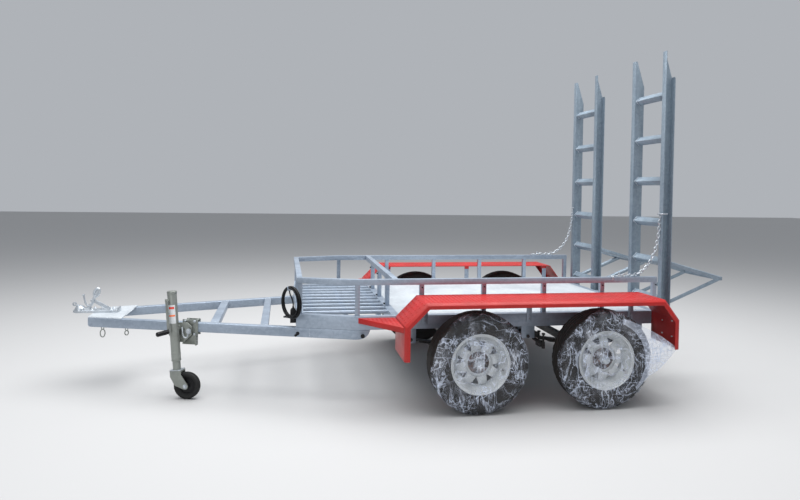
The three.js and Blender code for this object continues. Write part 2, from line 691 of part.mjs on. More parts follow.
// The rocker shares the load between the two springs; each spring's free end bears under one arm.
function rockerArm() {
  const low = slipTopZ + GAP;
  const [tip, half] = [rocker.tip, rocker.half];
  const shape = outline([
    [bogieX - half, low], [bogieX - rocker.bellyHalf, low], [bogieX, low - rocker.belly],
    [bogieX + rocker.bellyHalf, low], [bogieX + half, low], [bogieX + half, low + tip],
    [bogieX + rocker.neckHalf, rockerPinZ + rocker.neck],
    [bogieX - rocker.neckHalf, rockerPinZ + rocker.neck], [bogieX - half, low + tip],
  ]);
  const across = [springY - spring.wide / 2, springY + spring.wide / 2];
  const bore = rod([bogieX, across[0] - 5, rockerPinZ], [bogieX, across[1] + 5, rockerPinZ],
    spring.pinR + spring.bore, 12);
  return cut(sidePrism(shape, ...across), bore);
}
addPair('rocker', rockerArm(), blackSteel);

const hubInner = wheelY - hub.inner;
const beamEnd = trayHalf + axles.overhang;
function axleBeam(x) {
  const half = axles.beam / 2;
  const padWide = spring.wide / 2 + 6;
  const beam = box(x - half, x + half, -beamEnd, beamEnd, axleZ - half, axleZ + half);
  const stubs = [-1, 1].map((s) => rod([x, s * (beamEnd - FUSE), axleZ],
    [x, s * (hubInner - GAP), axleZ], axles.stub / 2, 12));
  const pads = [-1, 1].map((s) => box(x - axles.padHalf, x + axles.padHalf,
    s * springY - padWide, s * springY + padWide,
    axleZ - half - axles.padThick, axleZ - half + FUSE));
  return join(beam, ...stubs, ...pads);
}

// ---------------------------------------------------------------- wheels

// The beads sit between the rim's flanges, the walls bulge and the tread's shoulders are rounded.
function tyreRing() {
  const tread = tyre.diameter / 2 / Math.cos(Math.PI / tyre.facets);
  const half = tyre.width / 2;
  const bead = tyre.bead / 2 + 1;
  const beadHalf = rim.seatHalf - 0.5;
  const right = [
    [bead, beadHalf], [bead + 22, rim.flangeHalf + 1], [bead + 62, half], [tread - 46, half - 4],
    [tread - 8, half - 20], [tread, half - 34],
  ];
  const left = right.map(([r, across]) => [r, -across]);
  return turned([...left, ...right.reverse(), left[0]], tyre.facets);
}

// Pressed steel wheel: a flanged barrel and a dished centre with a row of triangular windows.
function wheelRim() {
  const seat = tyre.bead / 2;
  const flange = seat + rim.flangeRise;
  const inWell = rim.well - rim.wall;
  const body = turned([
    [flange, rim.flangeHalf], [seat + 18, rim.flangeHalf], [seat, rim.seatHalf], [rim.well, 20],
    [rim.well, -14], [seat, -rim.seatHalf], [seat + 18, -rim.flangeHalf],
    [flange - 1, -rim.flangeHalf], [flange - 9, -rim.lipHalf], [inWell, -10], [120, 26], [92, 26],
    [84, rim.disc - 6], [rim.hubBore, rim.disc - 6], [rim.hubBore, rim.disc], [82, rim.disc], [90, 33],
    [122, 33], [inWell, 12], [flange - 9, rim.lipHalf], [flange, rim.flangeHalf],
  ], tyre.facets);
  const windows = [];
  for (let i = 0; i < rim.windows; i += 1) {
    const window = new THREE.Shape();
    window.moveTo(-rim.windowHalf, rim.windowOut);
    window.lineTo(0, rim.windowIn);
    window.lineTo(rim.windowHalf, rim.windowOut);
    windows.push(extrude(window, 60).rotateX(Math.PI / 2).translate(0, 45, 0)
      .rotateY((i + 0.5) * 2 * Math.PI / rim.windows));
  }
  return cut(body, ...windows);
}

// Hub drum with its flange inside the wheel, wheel nuts through the disc and a pressed dust cap.
function wheelHub() {
  const bore = axles.stub / 2 + 1;
  const face = rim.disc + GAP;
  const flangeFace = rim.disc - 6.5;
  const capEnd = 34 + hub.capLength;
  const drum = turned([
    [bore, -hub.inner], [hub.barrelR, -hub.inner], [hub.barrelR, -14], [hub.flangeR, -8],
    [hub.flangeR, flangeFace], [hub.spigotR, flangeFace], [hub.spigotR, 30], [hub.capR, 34],
    [hub.capR, capEnd], [16, capEnd + 6], [0, capEnd + 6], [0, -30], [bore, -30], [bore, -hub.inner],
  ], 12);
  const collarR = hub.studCircle + hub.collar;
  const collar = turned([
    [30, face], [collarR, face], [collarR, face + hub.collarThick],
    [30, face + hub.collarThick], [30, face],
  ], 12);
  const nuts = [];
  for (let i = 0; i < hub.studs; i += 1) {
    const a = i * 2 * Math.PI / hub.studs + 0.3;
    const [x, z] = [hub.studCircle * Math.sin(a), hub.studCircle * Math.cos(a)];
    nuts.push(rod([x, face + 2, z], [x, face + hub.nutHigh, z], hub.nutR, 6));
  }
  return join(drum, collar, ...nuts);
}

const wheelPieces = {
  tyre: [tyreRing(), blackRubber],
  rim: [wheelRim(), rimPaint],
  hub: [wheelHub(), blackSteel],
};

for (const [place, x] of [['front', axles.front], ['rear', axles.rear]]) {
  add(`axle_${place}`, axleBeam(x), blackSteel);
  for (const [side, sign] of [['left', -1], ['right', 1]]) {
    for (const [piece, [geometry, material]] of Object.entries(wheelPieces)) {
      const placed = sign < 0 ? mirrored(geometry) : geometry.clone();
      const mesh = add(`${piece}_${place}_${side}`, placed, material);
      mesh.position.set(x, sign * wheelY, axleZ);
    }
  }
}

// ---------------------------------------------------------------- ramps

const rampTop = pivotZ + ramp.length;
function rampStile(y, openSide) {
  const half = ramp.stileDeep / 2;
  const [front, rear] = [pivotX - half, pivotX + half];
  const side = new THREE.Shape();
  side.moveTo(front, pivotZ);
  side.absarc(pivotX, pivotZ, half, Math.PI, 0, false);
  side.lineTo(rear, rampTop - ramp.cutDrop);
  side.lineTo(front + ramp.cutTop, rampTop);
  side.lineTo(front, rampTop);
  const stile = sidePrism(side, y, y + ramp.stileWide);
  const pocketY = openSide < 0
    ? [y - 5, y + ramp.stileWide - WELD_WALL]
    : [y + WELD_WALL, y + ramp.stileWide + 5];
  const pocket = box(front + WELD_WALL, rear - WELD_WALL, ...pocketY, pivotZ - half - 5, rampTop + 5);
  return cut(stile, pocket);
}

function rampRung(rise) {
  const z = pivotZ + rise;
  const leg = ramp.rungLeg / Math.SQRT2;
  const wall = WELD_WALL * Math.SQRT2;
  const front = pivotX - ramp.stileDeep / 2 + ramp.rungInset;
  const y0 = rampInner + ramp.stileWide - FUSE;
  const y1 = rampOuter - ramp.stileWide + FUSE;
  return sidePrism([
    [front, z], [front + leg, z - leg], [front + leg + wall / 2, z - leg + wall / 2], [front + wall, z],
    [front + leg + wall / 2, z + leg - wall / 2], [front + leg, z + leg],
  ], y0, y1);
}

function rampLadder() {
  const pin = rod([pivotX, lugY[0] - ramp.pinEnd, pivotZ],
    [pivotX, lugY[1] + lug.thick + ramp.pinEnd, pivotZ], ramp.pinR, 16);
  return join(
    rampStile(rampInner, -1),
    rampStile(rampOuter - ramp.stileWide, 1),
    ...rungRise.map(rampRung),
    pin,
  );
}
addPair('ramp_ladder', rampLadder(), galvanised);

// The prop under each ramp is a triangle on each stile's rear face, with one bar joining the two tips.
function rampProp() {
  const face = pivotX + ramp.stileDeep / 2 + GAP;
  const apexX = pivotX + prop.reach;
  const apexZ = pivotZ + prop.apex;
  const pieces = [];
  for (const y of [rampInner + ramp.stileWide / 2, rampOuter - ramp.stileWide / 2]) {
    for (const rise of [prop.upper, prop.lower]) {
      pieces.push(squareBar([face - 20, y, pivotZ + rise], [apexX, y, apexZ], prop.bar));
    }
  }
  pieces.push(box(apexX - prop.tipFront, apexX + prop.tipRear,
    rampInner + prop.inset, rampOuter - prop.inset,
    apexZ - prop.bar / 2 - 0.5, apexZ + prop.bar / 2 + 0.5));
  const behind = box(face - 200, face, rampInner - 50, rampOuter + 50,
    pivotZ - prop.lower, pivotZ + 2 * prop.upper);
  return cut(join(...pieces), behind);
}
addPair('ramp_prop', rampProp(), galvanised);

// ---------------------------------------------------------------- jockey wheel

// The jockey's own frame: x along the drawbar rail, y into the rail and z up, from the rail's outer
// face at the swing pivot, so outboard is -y.
const jockeyFrame = new THREE.Group();
jockeyFrame.position.set(jockey.pivotX, -edgeY(jockey.pivotX), 0);
jockeyFrame.rotation.z = -Math.atan(slope);
trailer.add(jockeyFrame);

const swingZ = drawbarTop - jockey.pivotDrop;
const tubeTop = drawbarTop + jockey.tubeAbove;
const tubeLow = drawbarTop - jockey.tubeBelow;
const legTop = tubeTop - jockey.legShort;
const legR = jockey.tubeR - jockey.tubeWall - jockey.legSlack;
const forkTop = 2 * jockey.wheelR + jockey.forkOver;
const forkHalf = jockey.wheelWide / 2 + jockey.forkGap;
const crankZ = tubeTop - jockey.crankDrop;
const lean = THREE.MathUtils.degToRad(jockey.leanDeg);
const footX = -jockey.ahead + swingZ * Math.tan(lean);
const legFrame = new THREE.Group();
legFrame.position.set(footX, -jockey.standOff, 0);
legFrame.rotation.y = -lean;
jockeyFrame.add(legFrame);

const bracket = {
  plate: 6, front: [-62, 48], frontAbove: 72, frontBelow: 98, back: [-58, 40], backAbove: 70, backBelow: 38,
  boltX: [-44, 26], boltR: 6, boltClear: 12, flangeOut: 34, flangeHigh: 80,
};
const bracketBack = drawbar.wide + GAP;
function jockeyBracket() {
  const { plate, front, back, boltX } = bracket;
  const face = box(front[0], front[1], -plate - GAP, -GAP,
    swingZ - bracket.frontBelow, swingZ + bracket.frontAbove);
  const backPlate = box(back[0], back[1], bracketBack, bracketBack + plate,
    swingZ - bracket.backBelow, swingZ + bracket.backAbove);
  const boltZ = [drawbarTop + bracket.boltClear, drawbarBottom - bracket.boltClear];
  const bolts = boltX.flatMap((x) => boltZ.map((z) => rod(
    [x, -2 * plate, z], [x, bracketBack + plate + 14, z], bracket.boltR, 6)));
  const flange = box(front[1] - plate, front[1], -bracket.flangeOut, -GAP - FUSE,
    swingZ - bracket.frontBelow, swingZ - bracket.frontBelow + bracket.flangeHigh);
  const pivot = rod([0, -plate, swingZ], [0, -jockey.pivotEnd, swingZ], jockey.pivotR, 14);
  return join(face, backPlate, ...bolts, flange, pivot);
}
add('jockey_bracket', jockeyBracket(), zincTube, jockeyFrame);

// Outer tube, with the swing plate that turns on the bracket's pivot. The plate is made in the
// jockey's frame and the tube leans in it.
const swingOuter = -bracket.plate - jockey.swingGap;
const swingPlateY = [swingOuter - jockey.swingPlate, swingOuter];
function jockeyTube() {
  const place = (geometry) => geometry.rotateY(-lean).translate(footX, -jockey.standOff, 0);
  const tube = place(rod([0, 0, tubeLow], [0, 0, tubeTop], jockey.tubeR, 20));
  const bore = place(rod([0, 0, tubeLow - 20], [0, 0, tubeTop - 10],
    jockey.tubeR - jockey.tubeWall, 20));
  const plate = sidePrism([
    [-150, 48], [-158, -20], [-120, -84], [-40, -78], [14, -26], [14, 30], [-20, 56],
  ].map(([x, rise]) => [x, swingZ + rise]), ...swingPlateY);
  const saddles = [-58, 12].map((rise) => box(-124, -60, -jockey.standOff + 6, swingPlateY[0] + FUSE,
    swingZ + rise, swingZ + rise + 26));
  const pivotHole = rod([0, swingPlateY[0] - 10, swingZ], [0, swingPlateY[1] + 10, swingZ],
    jockey.pivotR + jockey.bore, 14);
  return cut(join(tube, plate, ...saddles), bore, pivotHole);
}
add('jockey_tube', jockeyTube(), zincTube, jockeyFrame);

// Side-wind crank: a stub out of the tube's top, a flat arm down beside the tube and a grip.
const crankFrame = new THREE.Group();
crankFrame.rotation.z = -THREE.MathUtils.degToRad(jockey.crankTurnDeg);
legFrame.add(crankFrame);
function jockeyCrank() {
  const start = -jockey.tubeR - GAP;
  const armY = start - 16;
  const stub = rod([0, start, crankZ], [0, armY, crankZ], 9, 12);
  const arm = box(-10, 10, armY - 6, armY + FUSE, crankZ - jockey.crankArm - 8, crankZ + 12);
  const gripZ = crankZ - jockey.crankArm + 4;
  const grip = rod([0, armY - 5, gripZ], [0, armY - jockey.gripLength, gripZ], jockey.gripR, 12);
  return join(stub, arm, grip);
}
add('jockey_crank', jockeyCrank(), blackPlastic, crankFrame);

function jockeyLeg() {
  const leg = rod([0, 0, forkTop + GAP], [0, 0, legTop], legR, 18);
  const spigot = rod([0, 0, forkTop - jockey.forkPlate - jockey.spigotLong], [0, 0, forkTop + FUSE],
    jockey.spigotR, 12);
  return join(leg, spigot);
}
add('jockey_leg', jockeyLeg(), zincTube, legFrame);

const jockeyAxleZ = (jockey.wheelR - jockey.trail * Math.sin(lean)) / Math.cos(lean);
function jockeyFork() {
  const plateLow = forkTop - jockey.forkPlate;
  const top = box(-36, 42, -forkHalf - jockey.forkSide, forkHalf + jockey.forkSide,
    plateLow, forkTop);
  const side = new THREE.Shape();
  side.moveTo(-36, forkTop);
  side.lineTo(-36, forkTop - 40);
  side.lineTo(-8, jockeyAxleZ + 8);
  side.lineTo(jockey.trail - 10, jockeyAxleZ - 20);
  side.absarc(jockey.trail, jockeyAxleZ, 21, -Math.PI / 2, Math.PI / 5, false);
  side.lineTo(42, forkTop - 26);
  side.lineTo(42, forkTop);
  const cheeks = [-forkHalf - jockey.forkSide, forkHalf].map((y) => sidePrism(side, y,
    y + jockey.forkSide));
  const hole = rod([0, 0, plateLow - 5], [0, 0, forkTop + 5], jockey.spigotR + 0.5, 12);
  const pinReach = forkHalf + jockey.forkSide + 6;
  const pin = rod([jockey.trail, -pinReach, jockeyAxleZ], [jockey.trail, pinReach, jockeyAxleZ],
    jockey.pinR, 12);
  return join(cut(join(top, ...cheeks), hole), pin);
}
add('jockey_fork', jockeyFork(), zincTube, legFrame);

function jockeyWheel() {
  const facets = 18;
  const r = jockey.wheelR / Math.cos(Math.PI / facets);
  const half = jockey.wheelWide / 2;
  const bore = (jockey.pinR + jockey.bore) / Math.cos(Math.PI / facets);
  const left = [
    [bore, -half - 3], [26, -half - 3], [30, -half + 8], [r - 24, -half + 8], [r - 18, -half],
    [r - 6, -half + 3], [r, -half + 11],
  ];
  return turned([
    ...left, ...left.map(([radius, across]) => [radius, -across]).reverse(), left[0],
  ], facets);
}
const jockeyWheelMesh = add('jockey_wheel', jockeyWheel(), blackRubber, jockeyFrame);
jockeyWheelMesh.position.set(footX + jockey.trail * Math.cos(lean) - jockeyAxleZ * Math.sin(lean),
  -jockey.standOff, jockey.wheelR);

// ---------------------------------------------------------------- trailer lead

// The lead leaves a gland in the front crossmember, rises to a coil hung in front of the corner post
// and ends in a plug that hangs under the coil.
const glandY = cornerY + gland.inside;
const glandZ = railBottom + gland.rise;
add('lead_gland', rod([-GAP, glandY, glandZ], [-GAP - gland.length, glandY, glandZ], gland.radius, 12),
  blackPlastic);

// The coil's plane is upright and turned a little from square across the trailer.
function coilRing(bundleR) {
  const ring = [];
  for (let i = 0; i <= 8; i += 1) {
    const a = i / 8 * 2 * Math.PI;
    ring.push([lead.coilR + bundleR * Math.cos(a), bundleR * Math.sin(a)]);
  }
  return turned(ring, lead.facets).rotateZ(Math.PI / 2 - coilTurn).translate(lead.coilX, coilY, coilZ);
}
add('lead_coil', coilRing(lead.bundleR), blackPlastic);

function cableTube(route, steps) {
  const path = new THREE.CatmullRomCurve3(route.map((p) => new THREE.Vector3(...p)), false, 'centripetal');
  const section = new THREE.Shape();
  section.absarc(0, 0, lead.diameter / 2, 0, 2 * Math.PI, false);
  return new THREE.ExtrudeGeometry(section, { steps, extrudePath: path, curveSegments: 4 });
}

// From the gland forwards, then sideways and tangent into the bottom of the coil, which trims it.
const leadRoute = [
  [-22.6, 180, 0], [-38, 180, -0.5], [-56, 175, -1], [-71, 160, -0.5], [-80, 136, 1.5],
  [-81, 108, 5], [-75, 80, 9.5], [-64, 50, 14.5], [-46, 18, 17.5], [-26, -10, 19],
].map(([x, inside, rise]) => [x, cornerY + inside, glandZ + rise]);
add('lead_tube', cut(cableTube(leadRoute, 26), coilRing(lead.bundleR + GAP)), blackPlastic);

// From the top of the coil down behind it to the plug, which hangs in front of the crossmember.
const plugTop = coilZ - plug.drop;
const plugY = cornerY + plug.inside;
const tailRoute = [
  ...[
    [-34.4, 3.4, 89.6], [-43, 18, 79], [-46, 31, 61], [-41, 42, 37], [-31, 49, 13], [-23, 50, -11],
    [plug.x, plug.inside, -29],
  ].map(([x, inside, rise]) => [x, cornerY + inside, coilZ + rise]),
  [plug.x, plugY, plugTop + plug.neck + GAP],
];
add('lead_tail', cut(cableTube(tailRoute, 18), coilRing(lead.bundleR + GAP)), blackPlastic);
add('lead_plug', join(
  box(plug.x - plug.wide / 2, plug.x + plug.wide / 2, plugY - plug.deep / 2, plugY + plug.deep / 2,
    plugTop - plug.long, plugTop),
  rod([plug.x, plugY, plugTop - FUSE], [plug.x, plugY, plugTop + plug.neck], plug.neckR, 10),
), blackPlastic);

const bounds = new THREE.Box3().setFromObject(trailer);
trailer.position.x = -(bounds.min.x + bounds.max.x) / 2;

export default model;
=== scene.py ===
# %% [markdown]
# # A tandem-axle plant trailer, piece by piece
# The trailer was first built as plain solids that fit together and move. Here those solids become
# the frame that every finished piece hangs on: each piece takes its place from them, so nothing
# has to be fitted by eye, and each one rides on the body that carries it.

import math
import random

import bmesh
import bpy
from mathutils import Matrix, Vector, noise


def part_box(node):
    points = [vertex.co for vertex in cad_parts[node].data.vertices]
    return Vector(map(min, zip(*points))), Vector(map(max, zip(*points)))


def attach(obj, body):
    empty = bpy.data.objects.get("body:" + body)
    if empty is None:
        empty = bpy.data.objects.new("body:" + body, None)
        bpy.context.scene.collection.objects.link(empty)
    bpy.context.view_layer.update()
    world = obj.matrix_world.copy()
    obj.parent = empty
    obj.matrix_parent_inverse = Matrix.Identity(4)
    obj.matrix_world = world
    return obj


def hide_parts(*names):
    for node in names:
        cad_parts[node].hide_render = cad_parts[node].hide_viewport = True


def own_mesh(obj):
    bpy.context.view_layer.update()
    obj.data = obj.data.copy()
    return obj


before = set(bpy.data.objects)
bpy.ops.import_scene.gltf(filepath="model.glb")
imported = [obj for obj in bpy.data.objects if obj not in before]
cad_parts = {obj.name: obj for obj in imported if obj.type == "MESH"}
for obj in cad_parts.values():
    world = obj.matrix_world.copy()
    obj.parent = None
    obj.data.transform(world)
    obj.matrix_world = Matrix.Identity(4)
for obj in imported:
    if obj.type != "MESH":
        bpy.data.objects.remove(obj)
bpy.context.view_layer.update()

# %% [markdown]
# Workshop drawings give a trailer's stations from one datum. Here it is the front face of the
# tray on the centreline at ground level, so a piece can be placed in millimetres as on a drawing.

# %% The datum and the two directions of the drawbar
MM = 0.001
DATUM_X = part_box("front_crossmember")[0].x
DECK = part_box("chassis_rail_left")[1].z / MM


def at(x, y, z):
    """A point on the drawing, in millimetres behind the tray's front face, to the right and up."""
    return Vector((DATUM_X + x * MM, y * MM, z * MM))


print(f"tray front at {DATUM_X:.3f} m, deck {DECK:.0f} mm up")

# %% [markdown]
# ## Where the trailer is looked at from
# The view is from the trailer's left, a little ahead of its middle and at eye height, with a
# moderately wide lens. The lens shift keeps the camera level while the trailer sits low in the
# frame, as a view camera does, so upright ramps stay upright.

# %% Camera
SENSOR, LENS = 36.0, 29.0106
eye = Vector((-0.842, -4.971, 1.435))
sight = Vector((0.17563, 0.98418, -0.02343))
right = Vector((0.98440, -0.17530, 0.01533))
camera_data = bpy.data.cameras.new("Camera")
camera_data.sensor_width = SENSOR
camera_data.lens = LENS
camera_data.shift_x = 0.00125
camera_data.shift_y = -0.0579
camera = bpy.data.objects.new("Camera", camera_data)
bpy.context.scene.collection.objects.link(camera)
up = right.cross(sight)
turn = Matrix((right, up, -sight)).transposed().to_4x4()
camera.matrix_world = Matrix.Translation(eye) @ turn
bpy.context.scene.camera = camera
print(f"lens {camera_data.lens:.1f} mm")

# %% [markdown]
# ## Shader sums
# A finish is a small network of nodes. Wiring it by hand takes four lines for every sum, so a
# socket is wrapped in a class that adds its own Math nodes, and a finish reads like arithmetic.


# %% A socket that can be added, taken away and multiplied
class Signal:
    """One output of a finish's nodes, as a number that varies over the surface."""

    def __init__(self, finish, socket):
        self.finish = finish
        self.socket = socket

    def sum(self, operation, first, second):
        return self.finish.node("ShaderNodeMath", {"operation": operation}, {0: first, 1: second})

    def __add__(self, other):
        return self.sum("ADD", self, other)

    def __sub__(self, other):
        return self.sum("SUBTRACT", self, other)

    def __mul__(self, other):
        return self.sum("MULTIPLY", self, other)


# %% A finish and the few textures it is mixed from
class Finish:
    """A material while its nodes are being laid out."""

    def __init__(self, name):
        self.material = bpy.data.materials.new(name)
        self.material.use_nodes = True
        self.tree = self.material.node_tree
        self.shader = self.tree.nodes["Principled BSDF"]
        self.place = self.node("ShaderNodeTexCoord", output="Object")

    def node(self, kind, settings=None, inputs=None, output=0):
        made = self.tree.nodes.new(kind)
        for key, value in (settings or {}).items():
            if key == "stops":
                ramp = made.color_ramp
                while len(ramp.elements) < len(value):
                    ramp.elements.new(1.0)
                for stop, (where, level) in zip(ramp.elements, value):
                    stop.position = where
                    stop.color = (level, level, level, 1)
            else:
                setattr(made, key, value)
        for key, value in (inputs or {}).items():
            self.feed(made.inputs[key], value)
        return Signal(self, made.outputs[output])

    def feed(self, socket, value):
        if isinstance(value, Signal):
            self.tree.links.new(value.socket, socket)
        elif socket.type == "RGBA":
            socket.default_value = (*value, 1)
        else:
            socket.default_value = value

    def stretched(self, stretch):
        return self.node("ShaderNodeMapping", None, {"Vector": self.place, "Scale": stretch})

    def noise(self, scale, detail=3.0, stretch=None):
        where = self.stretched(stretch) if stretch else self.place
        return self.node("ShaderNodeTexNoise", None, {"Vector": where, "Scale": scale, "Detail": detail})

    def cells(self, scale):
        picked = self.node("ShaderNodeTexVoronoi", None, {"Vector": self.place, "Scale": scale}, "Color")
        return self.node("ShaderNodeSeparateColor", None, {"Color": picked})

    def steps(self, value, stops):
        return self.node("ShaderNodeValToRGB", {"stops": stops}, {"Fac": value})

    def mix(self, share, first, second):
        return self.node("ShaderNodeMix", {"data_type": "RGBA"}, {0: share, 6: first, 7: second}, 2)

    def surface(self, colour, roughness, metallic=0.0, height=None, depth=0.0005, **fixed):
        self.feed(self.shader.inputs["Base Color"], colour)
        self.feed(self.shader.inputs["Roughness"], roughness)
        self.feed(self.shader.inputs["Metallic"], metallic)
        for name, value in fixed.items():
            self.feed(self.shader.inputs[name.replace("_", " ")], value)
        if height is not None:
            bumped = self.node("ShaderNodeBump", None, {"Height": height, "Distance": depth}, "Normal")
            self.feed(self.shader.inputs["Normal"], bumped)
        return self.material


# %% [markdown]
# ## The finishes
# Hot-dipped and pre-galvanised steel is not a plain grey: zinc freezes in crystals a centimetre
# or two across, the oxide on it is patchy, and drawn tube carries faint lines along its length.
# It is only half a metal to look at, because the oxide scatters light, so the metallic share is
# kept low and its tone decides both colour and gloss.


# %% Zinc in its several tones
def zinc_finish(name, dark, pale, metallic, gloss, crystal=60.0, lines=(1.0, 1.0, 1.0)):
    f = Finish(name)
    patches = f.noise(4.0, 5.0, lines)
    crystals = f.cells(crystal)
    streaks = f.noise(30.0, 2.0, lines)
    tone = patches * 0.9 + crystals * 0.22 + streaks * 0.3 - 0.25
    return f.surface(
        f.mix(tone, dark, pale), tone * 0.22 + gloss, metallic,
        height=crystals * 0.4 + streaks, depth=0.0004,
    )


galvanised = zinc_finish("galvanised", (0.215, 0.265, 0.335), (0.45, 0.52, 0.61), 0.42, 0.30,
                         lines=(0.35, 2.2, 2.2))
ramp_galvanised = zinc_finish("ramp_galvanised", (0.155, 0.20, 0.25), (0.36, 0.44, 0.51), 0.45, 0.30,
                              lines=(2.2, 2.2, 0.35))
sheet_galvanised = zinc_finish("sheet_galvanised", (0.40, 0.44, 0.48), (0.70, 0.74, 0.77), 0.30, 0.38)
jockey_zinc = zinc_finish("jockey_zinc", (0.20, 0.215, 0.195), (0.37, 0.39, 0.365), 0.60, 0.27,
                          crystal=25.0)
bright_zinc = zinc_finish("bright_zinc", (0.36, 0.40, 0.44), (0.70, 0.74, 0.78), 0.70, 0.22, crystal=90.0)
weld_zinc = zinc_finish("weld_zinc", (0.50, 0.56, 0.62), (0.85, 0.89, 0.93), 0.45, 0.30, crystal=140.0)

# %% [markdown]
# Paint is smoother than zinc, and what shows is its wear: red enamel dulls in patches and its film
# has a slight orange-peel ripple; black chassis paint gathers pale dust; wheel enamel goes grey
# where brake dust and handling reach it.


# %% Paints
def paint_finish(name, fresh, dulled, gloss, coat, patch=6.0, ripple=160.0):
    f = Finish(name)
    worn = f.steps(f.noise(patch, 6.0), [(0.42, 0.0), (0.72, 1.0)])
    return f.surface(
        f.mix(worn, fresh, dulled), worn * 0.2 + gloss,
        height=f.noise(ripple, 1.0), depth=0.0003, Coat_Weight=coat, Coat_Roughness=0.12,
    )


red_paint = paint_finish("red_paint", (0.47, 0.006, 0.004), (0.35, 0.009, 0.006), 0.40, 0.10)
black_steel = paint_finish("black_steel", (0.012, 0.012, 0.013), (0.045, 0.044, 0.042), 0.42, 0.1)
rusty_steel = paint_finish("rusty_steel", (0.030, 0.024, 0.022), (0.17, 0.072, 0.035), 0.55, 0.0, patch=40.0)
wheel_paint = paint_finish("wheel_paint", (0.60, 0.625, 0.64), (0.47, 0.49, 0.50), 0.38, 0.2, patch=14.0)

# %% [markdown]
# New rubber is black only in its grooves. The walls carry brown mould wax and dust, which gather
# away from the tread, so the colour is mixed by a broad noise.


# %% Rubber, plastics and lenses
def rubber_finish(name, dark, dusty):
    f = Finish(name)
    dust = f.noise(7.0, 5.0) * 1.5 - 0.45
    grain = f.noise(220.0, 2.0)
    return f.surface(f.mix(dust, dark, dusty), grain * 0.15 + 0.62, height=grain, depth=0.0003)


tyre_rubber = rubber_finish("tyre_rubber", (0.007, 0.007, 0.007), (0.036, 0.028, 0.023))
jockey_rubber = rubber_finish("jockey_rubber", (0.003, 0.003, 0.003), (0.010, 0.010, 0.010))


def plastic_finish(name, colour, gloss, grain_scale=260.0, **fixed):
    f = Finish(name)
    grain = f.noise(grain_scale, 2.0)
    shade = f.mix(f.noise(18.0, 3.0), colour, tuple(c * 1.5 + 0.002 for c in colour))
    return f.surface(shade, grain * 0.12 + gloss, height=grain, depth=0.0002, **fixed)


black_plastic = plastic_finish("black_plastic", (0.004, 0.004, 0.005), 0.42, Specular_IOR_Level=0.3)
cable_jacket = plastic_finish("cable_jacket", (0.003, 0.003, 0.004), 0.38, Specular_IOR_Level=0.25)
lamp_red = plastic_finish("lamp_red", (0.45, 0.008, 0.010), 0.12, Coat_Weight=0.8)
lamp_amber = plastic_finish("lamp_amber", (0.75, 0.20, 0.012), 0.12, Coat_Weight=0.8)
label_white = plastic_finish("label_white", (0.55, 0.57, 0.58), 0.30)
label_red = plastic_finish("label_red", (0.62, 0.06, 0.04), 0.30)
label_orange = plastic_finish("label_orange", (0.80, 0.17, 0.05), 0.30)
print(len(bpy.data.materials), "finishes mixed")

# %% [markdown]
# ## Shaping tools
# Trailer work is mostly bar, plate, rod and turned parts, so one helper makes each from a bmesh
# primitive and bevels it, as rolled steel has rounded corners and sawn ends a small burr. They
# work in millimetres in whatever setting the piece is drawn in, and the setting is applied last.

# %% Bars, rods, plates and turned shapes
DRAWING = Matrix.Translation((DATUM_X, 0, 0))


def soften(shape, edges, radius, segments=2):
    bmesh.ops.bevel(
        shape, geom=edges, offset=radius * MM, segments=segments, profile=0.5,
        affect="EDGES", material=-1, clamp_overlap=True,
    )


def edges_of(verts):
    return list({edge for vert in verts for edge in vert.link_edges})


def axes_along(start, end, upright=(0, 0, 1)):
    a, b = Vector(start) * MM, Vector(end) * MM
    along = (b - a).normalized()
    guide = Vector(upright)
    if abs(along.dot(guide)) > 0.99:
        guide = Vector((1, 0, 0))
    side = guide.cross(along).normalized()
    turn = Matrix((along, side, along.cross(side))).transposed().to_4x4()
    return Matrix.Translation((a + b) / 2) @ turn, (b - a).length


def bar(shape, start, end, wide, high, corner=3.0, upright=(0, 0, 1)):
    """Rolled section from start to end, wide across and high along upright."""
    setting, length = axes_along(start, end, upright)
    sized = setting @ Matrix.Diagonal((length, wide * MM, high * MM, 1))
    made = bmesh.ops.create_cube(shape, size=1, matrix=sized)
    soften(shape, edges_of(made["verts"]), corner)


def block(shape, low, high, corner=1.5):
    """Upright block between two corners."""
    low, high = Vector(low) * MM, Vector(high) * MM
    sized = Matrix.Translation((low + high) / 2) @ Matrix.Diagonal((*(high - low), 1))
    made = bmesh.ops.create_cube(shape, size=1, matrix=sized)
    soften(shape, edges_of(made["verts"]), corner)


def rod(shape, start, end, radius, sides=16, tip=None, chamfer=0.8):
    setting, length = axes_along(start, end)
    upright = setting @ Matrix.Rotation(math.pi / 2, 4, "Y")
    made = bmesh.ops.create_cone(
        shape, cap_ends=True, segments=sides, radius1=radius * MM,
        radius2=(radius if tip is None else tip) * MM, depth=length, matrix=upright,
    )
    rims = [e for e in edges_of(made["verts"]) if any(len(f.verts) > 4 for f in e.link_faces)]
    if chamfer:
        soften(shape, rims, chamfer, 1)


def plate(shape, outline, normal, thick, corner=0.8):
    """Flat plate from an outline of points, thick along normal."""
    verts = [shape.verts.new(Vector(p) * MM) for p in outline]
    face = shape.faces.new(verts)
    raised = bmesh.ops.extrude_face_region(shape, geom=[face])
    moved = [v for v in raised["geom"] if isinstance(v, bmesh.types.BMVert)]
    bmesh.ops.translate(shape, vec=Vector(normal) * thick * MM, verts=moved)
    soften(shape, edges_of(verts + moved), corner, 1)


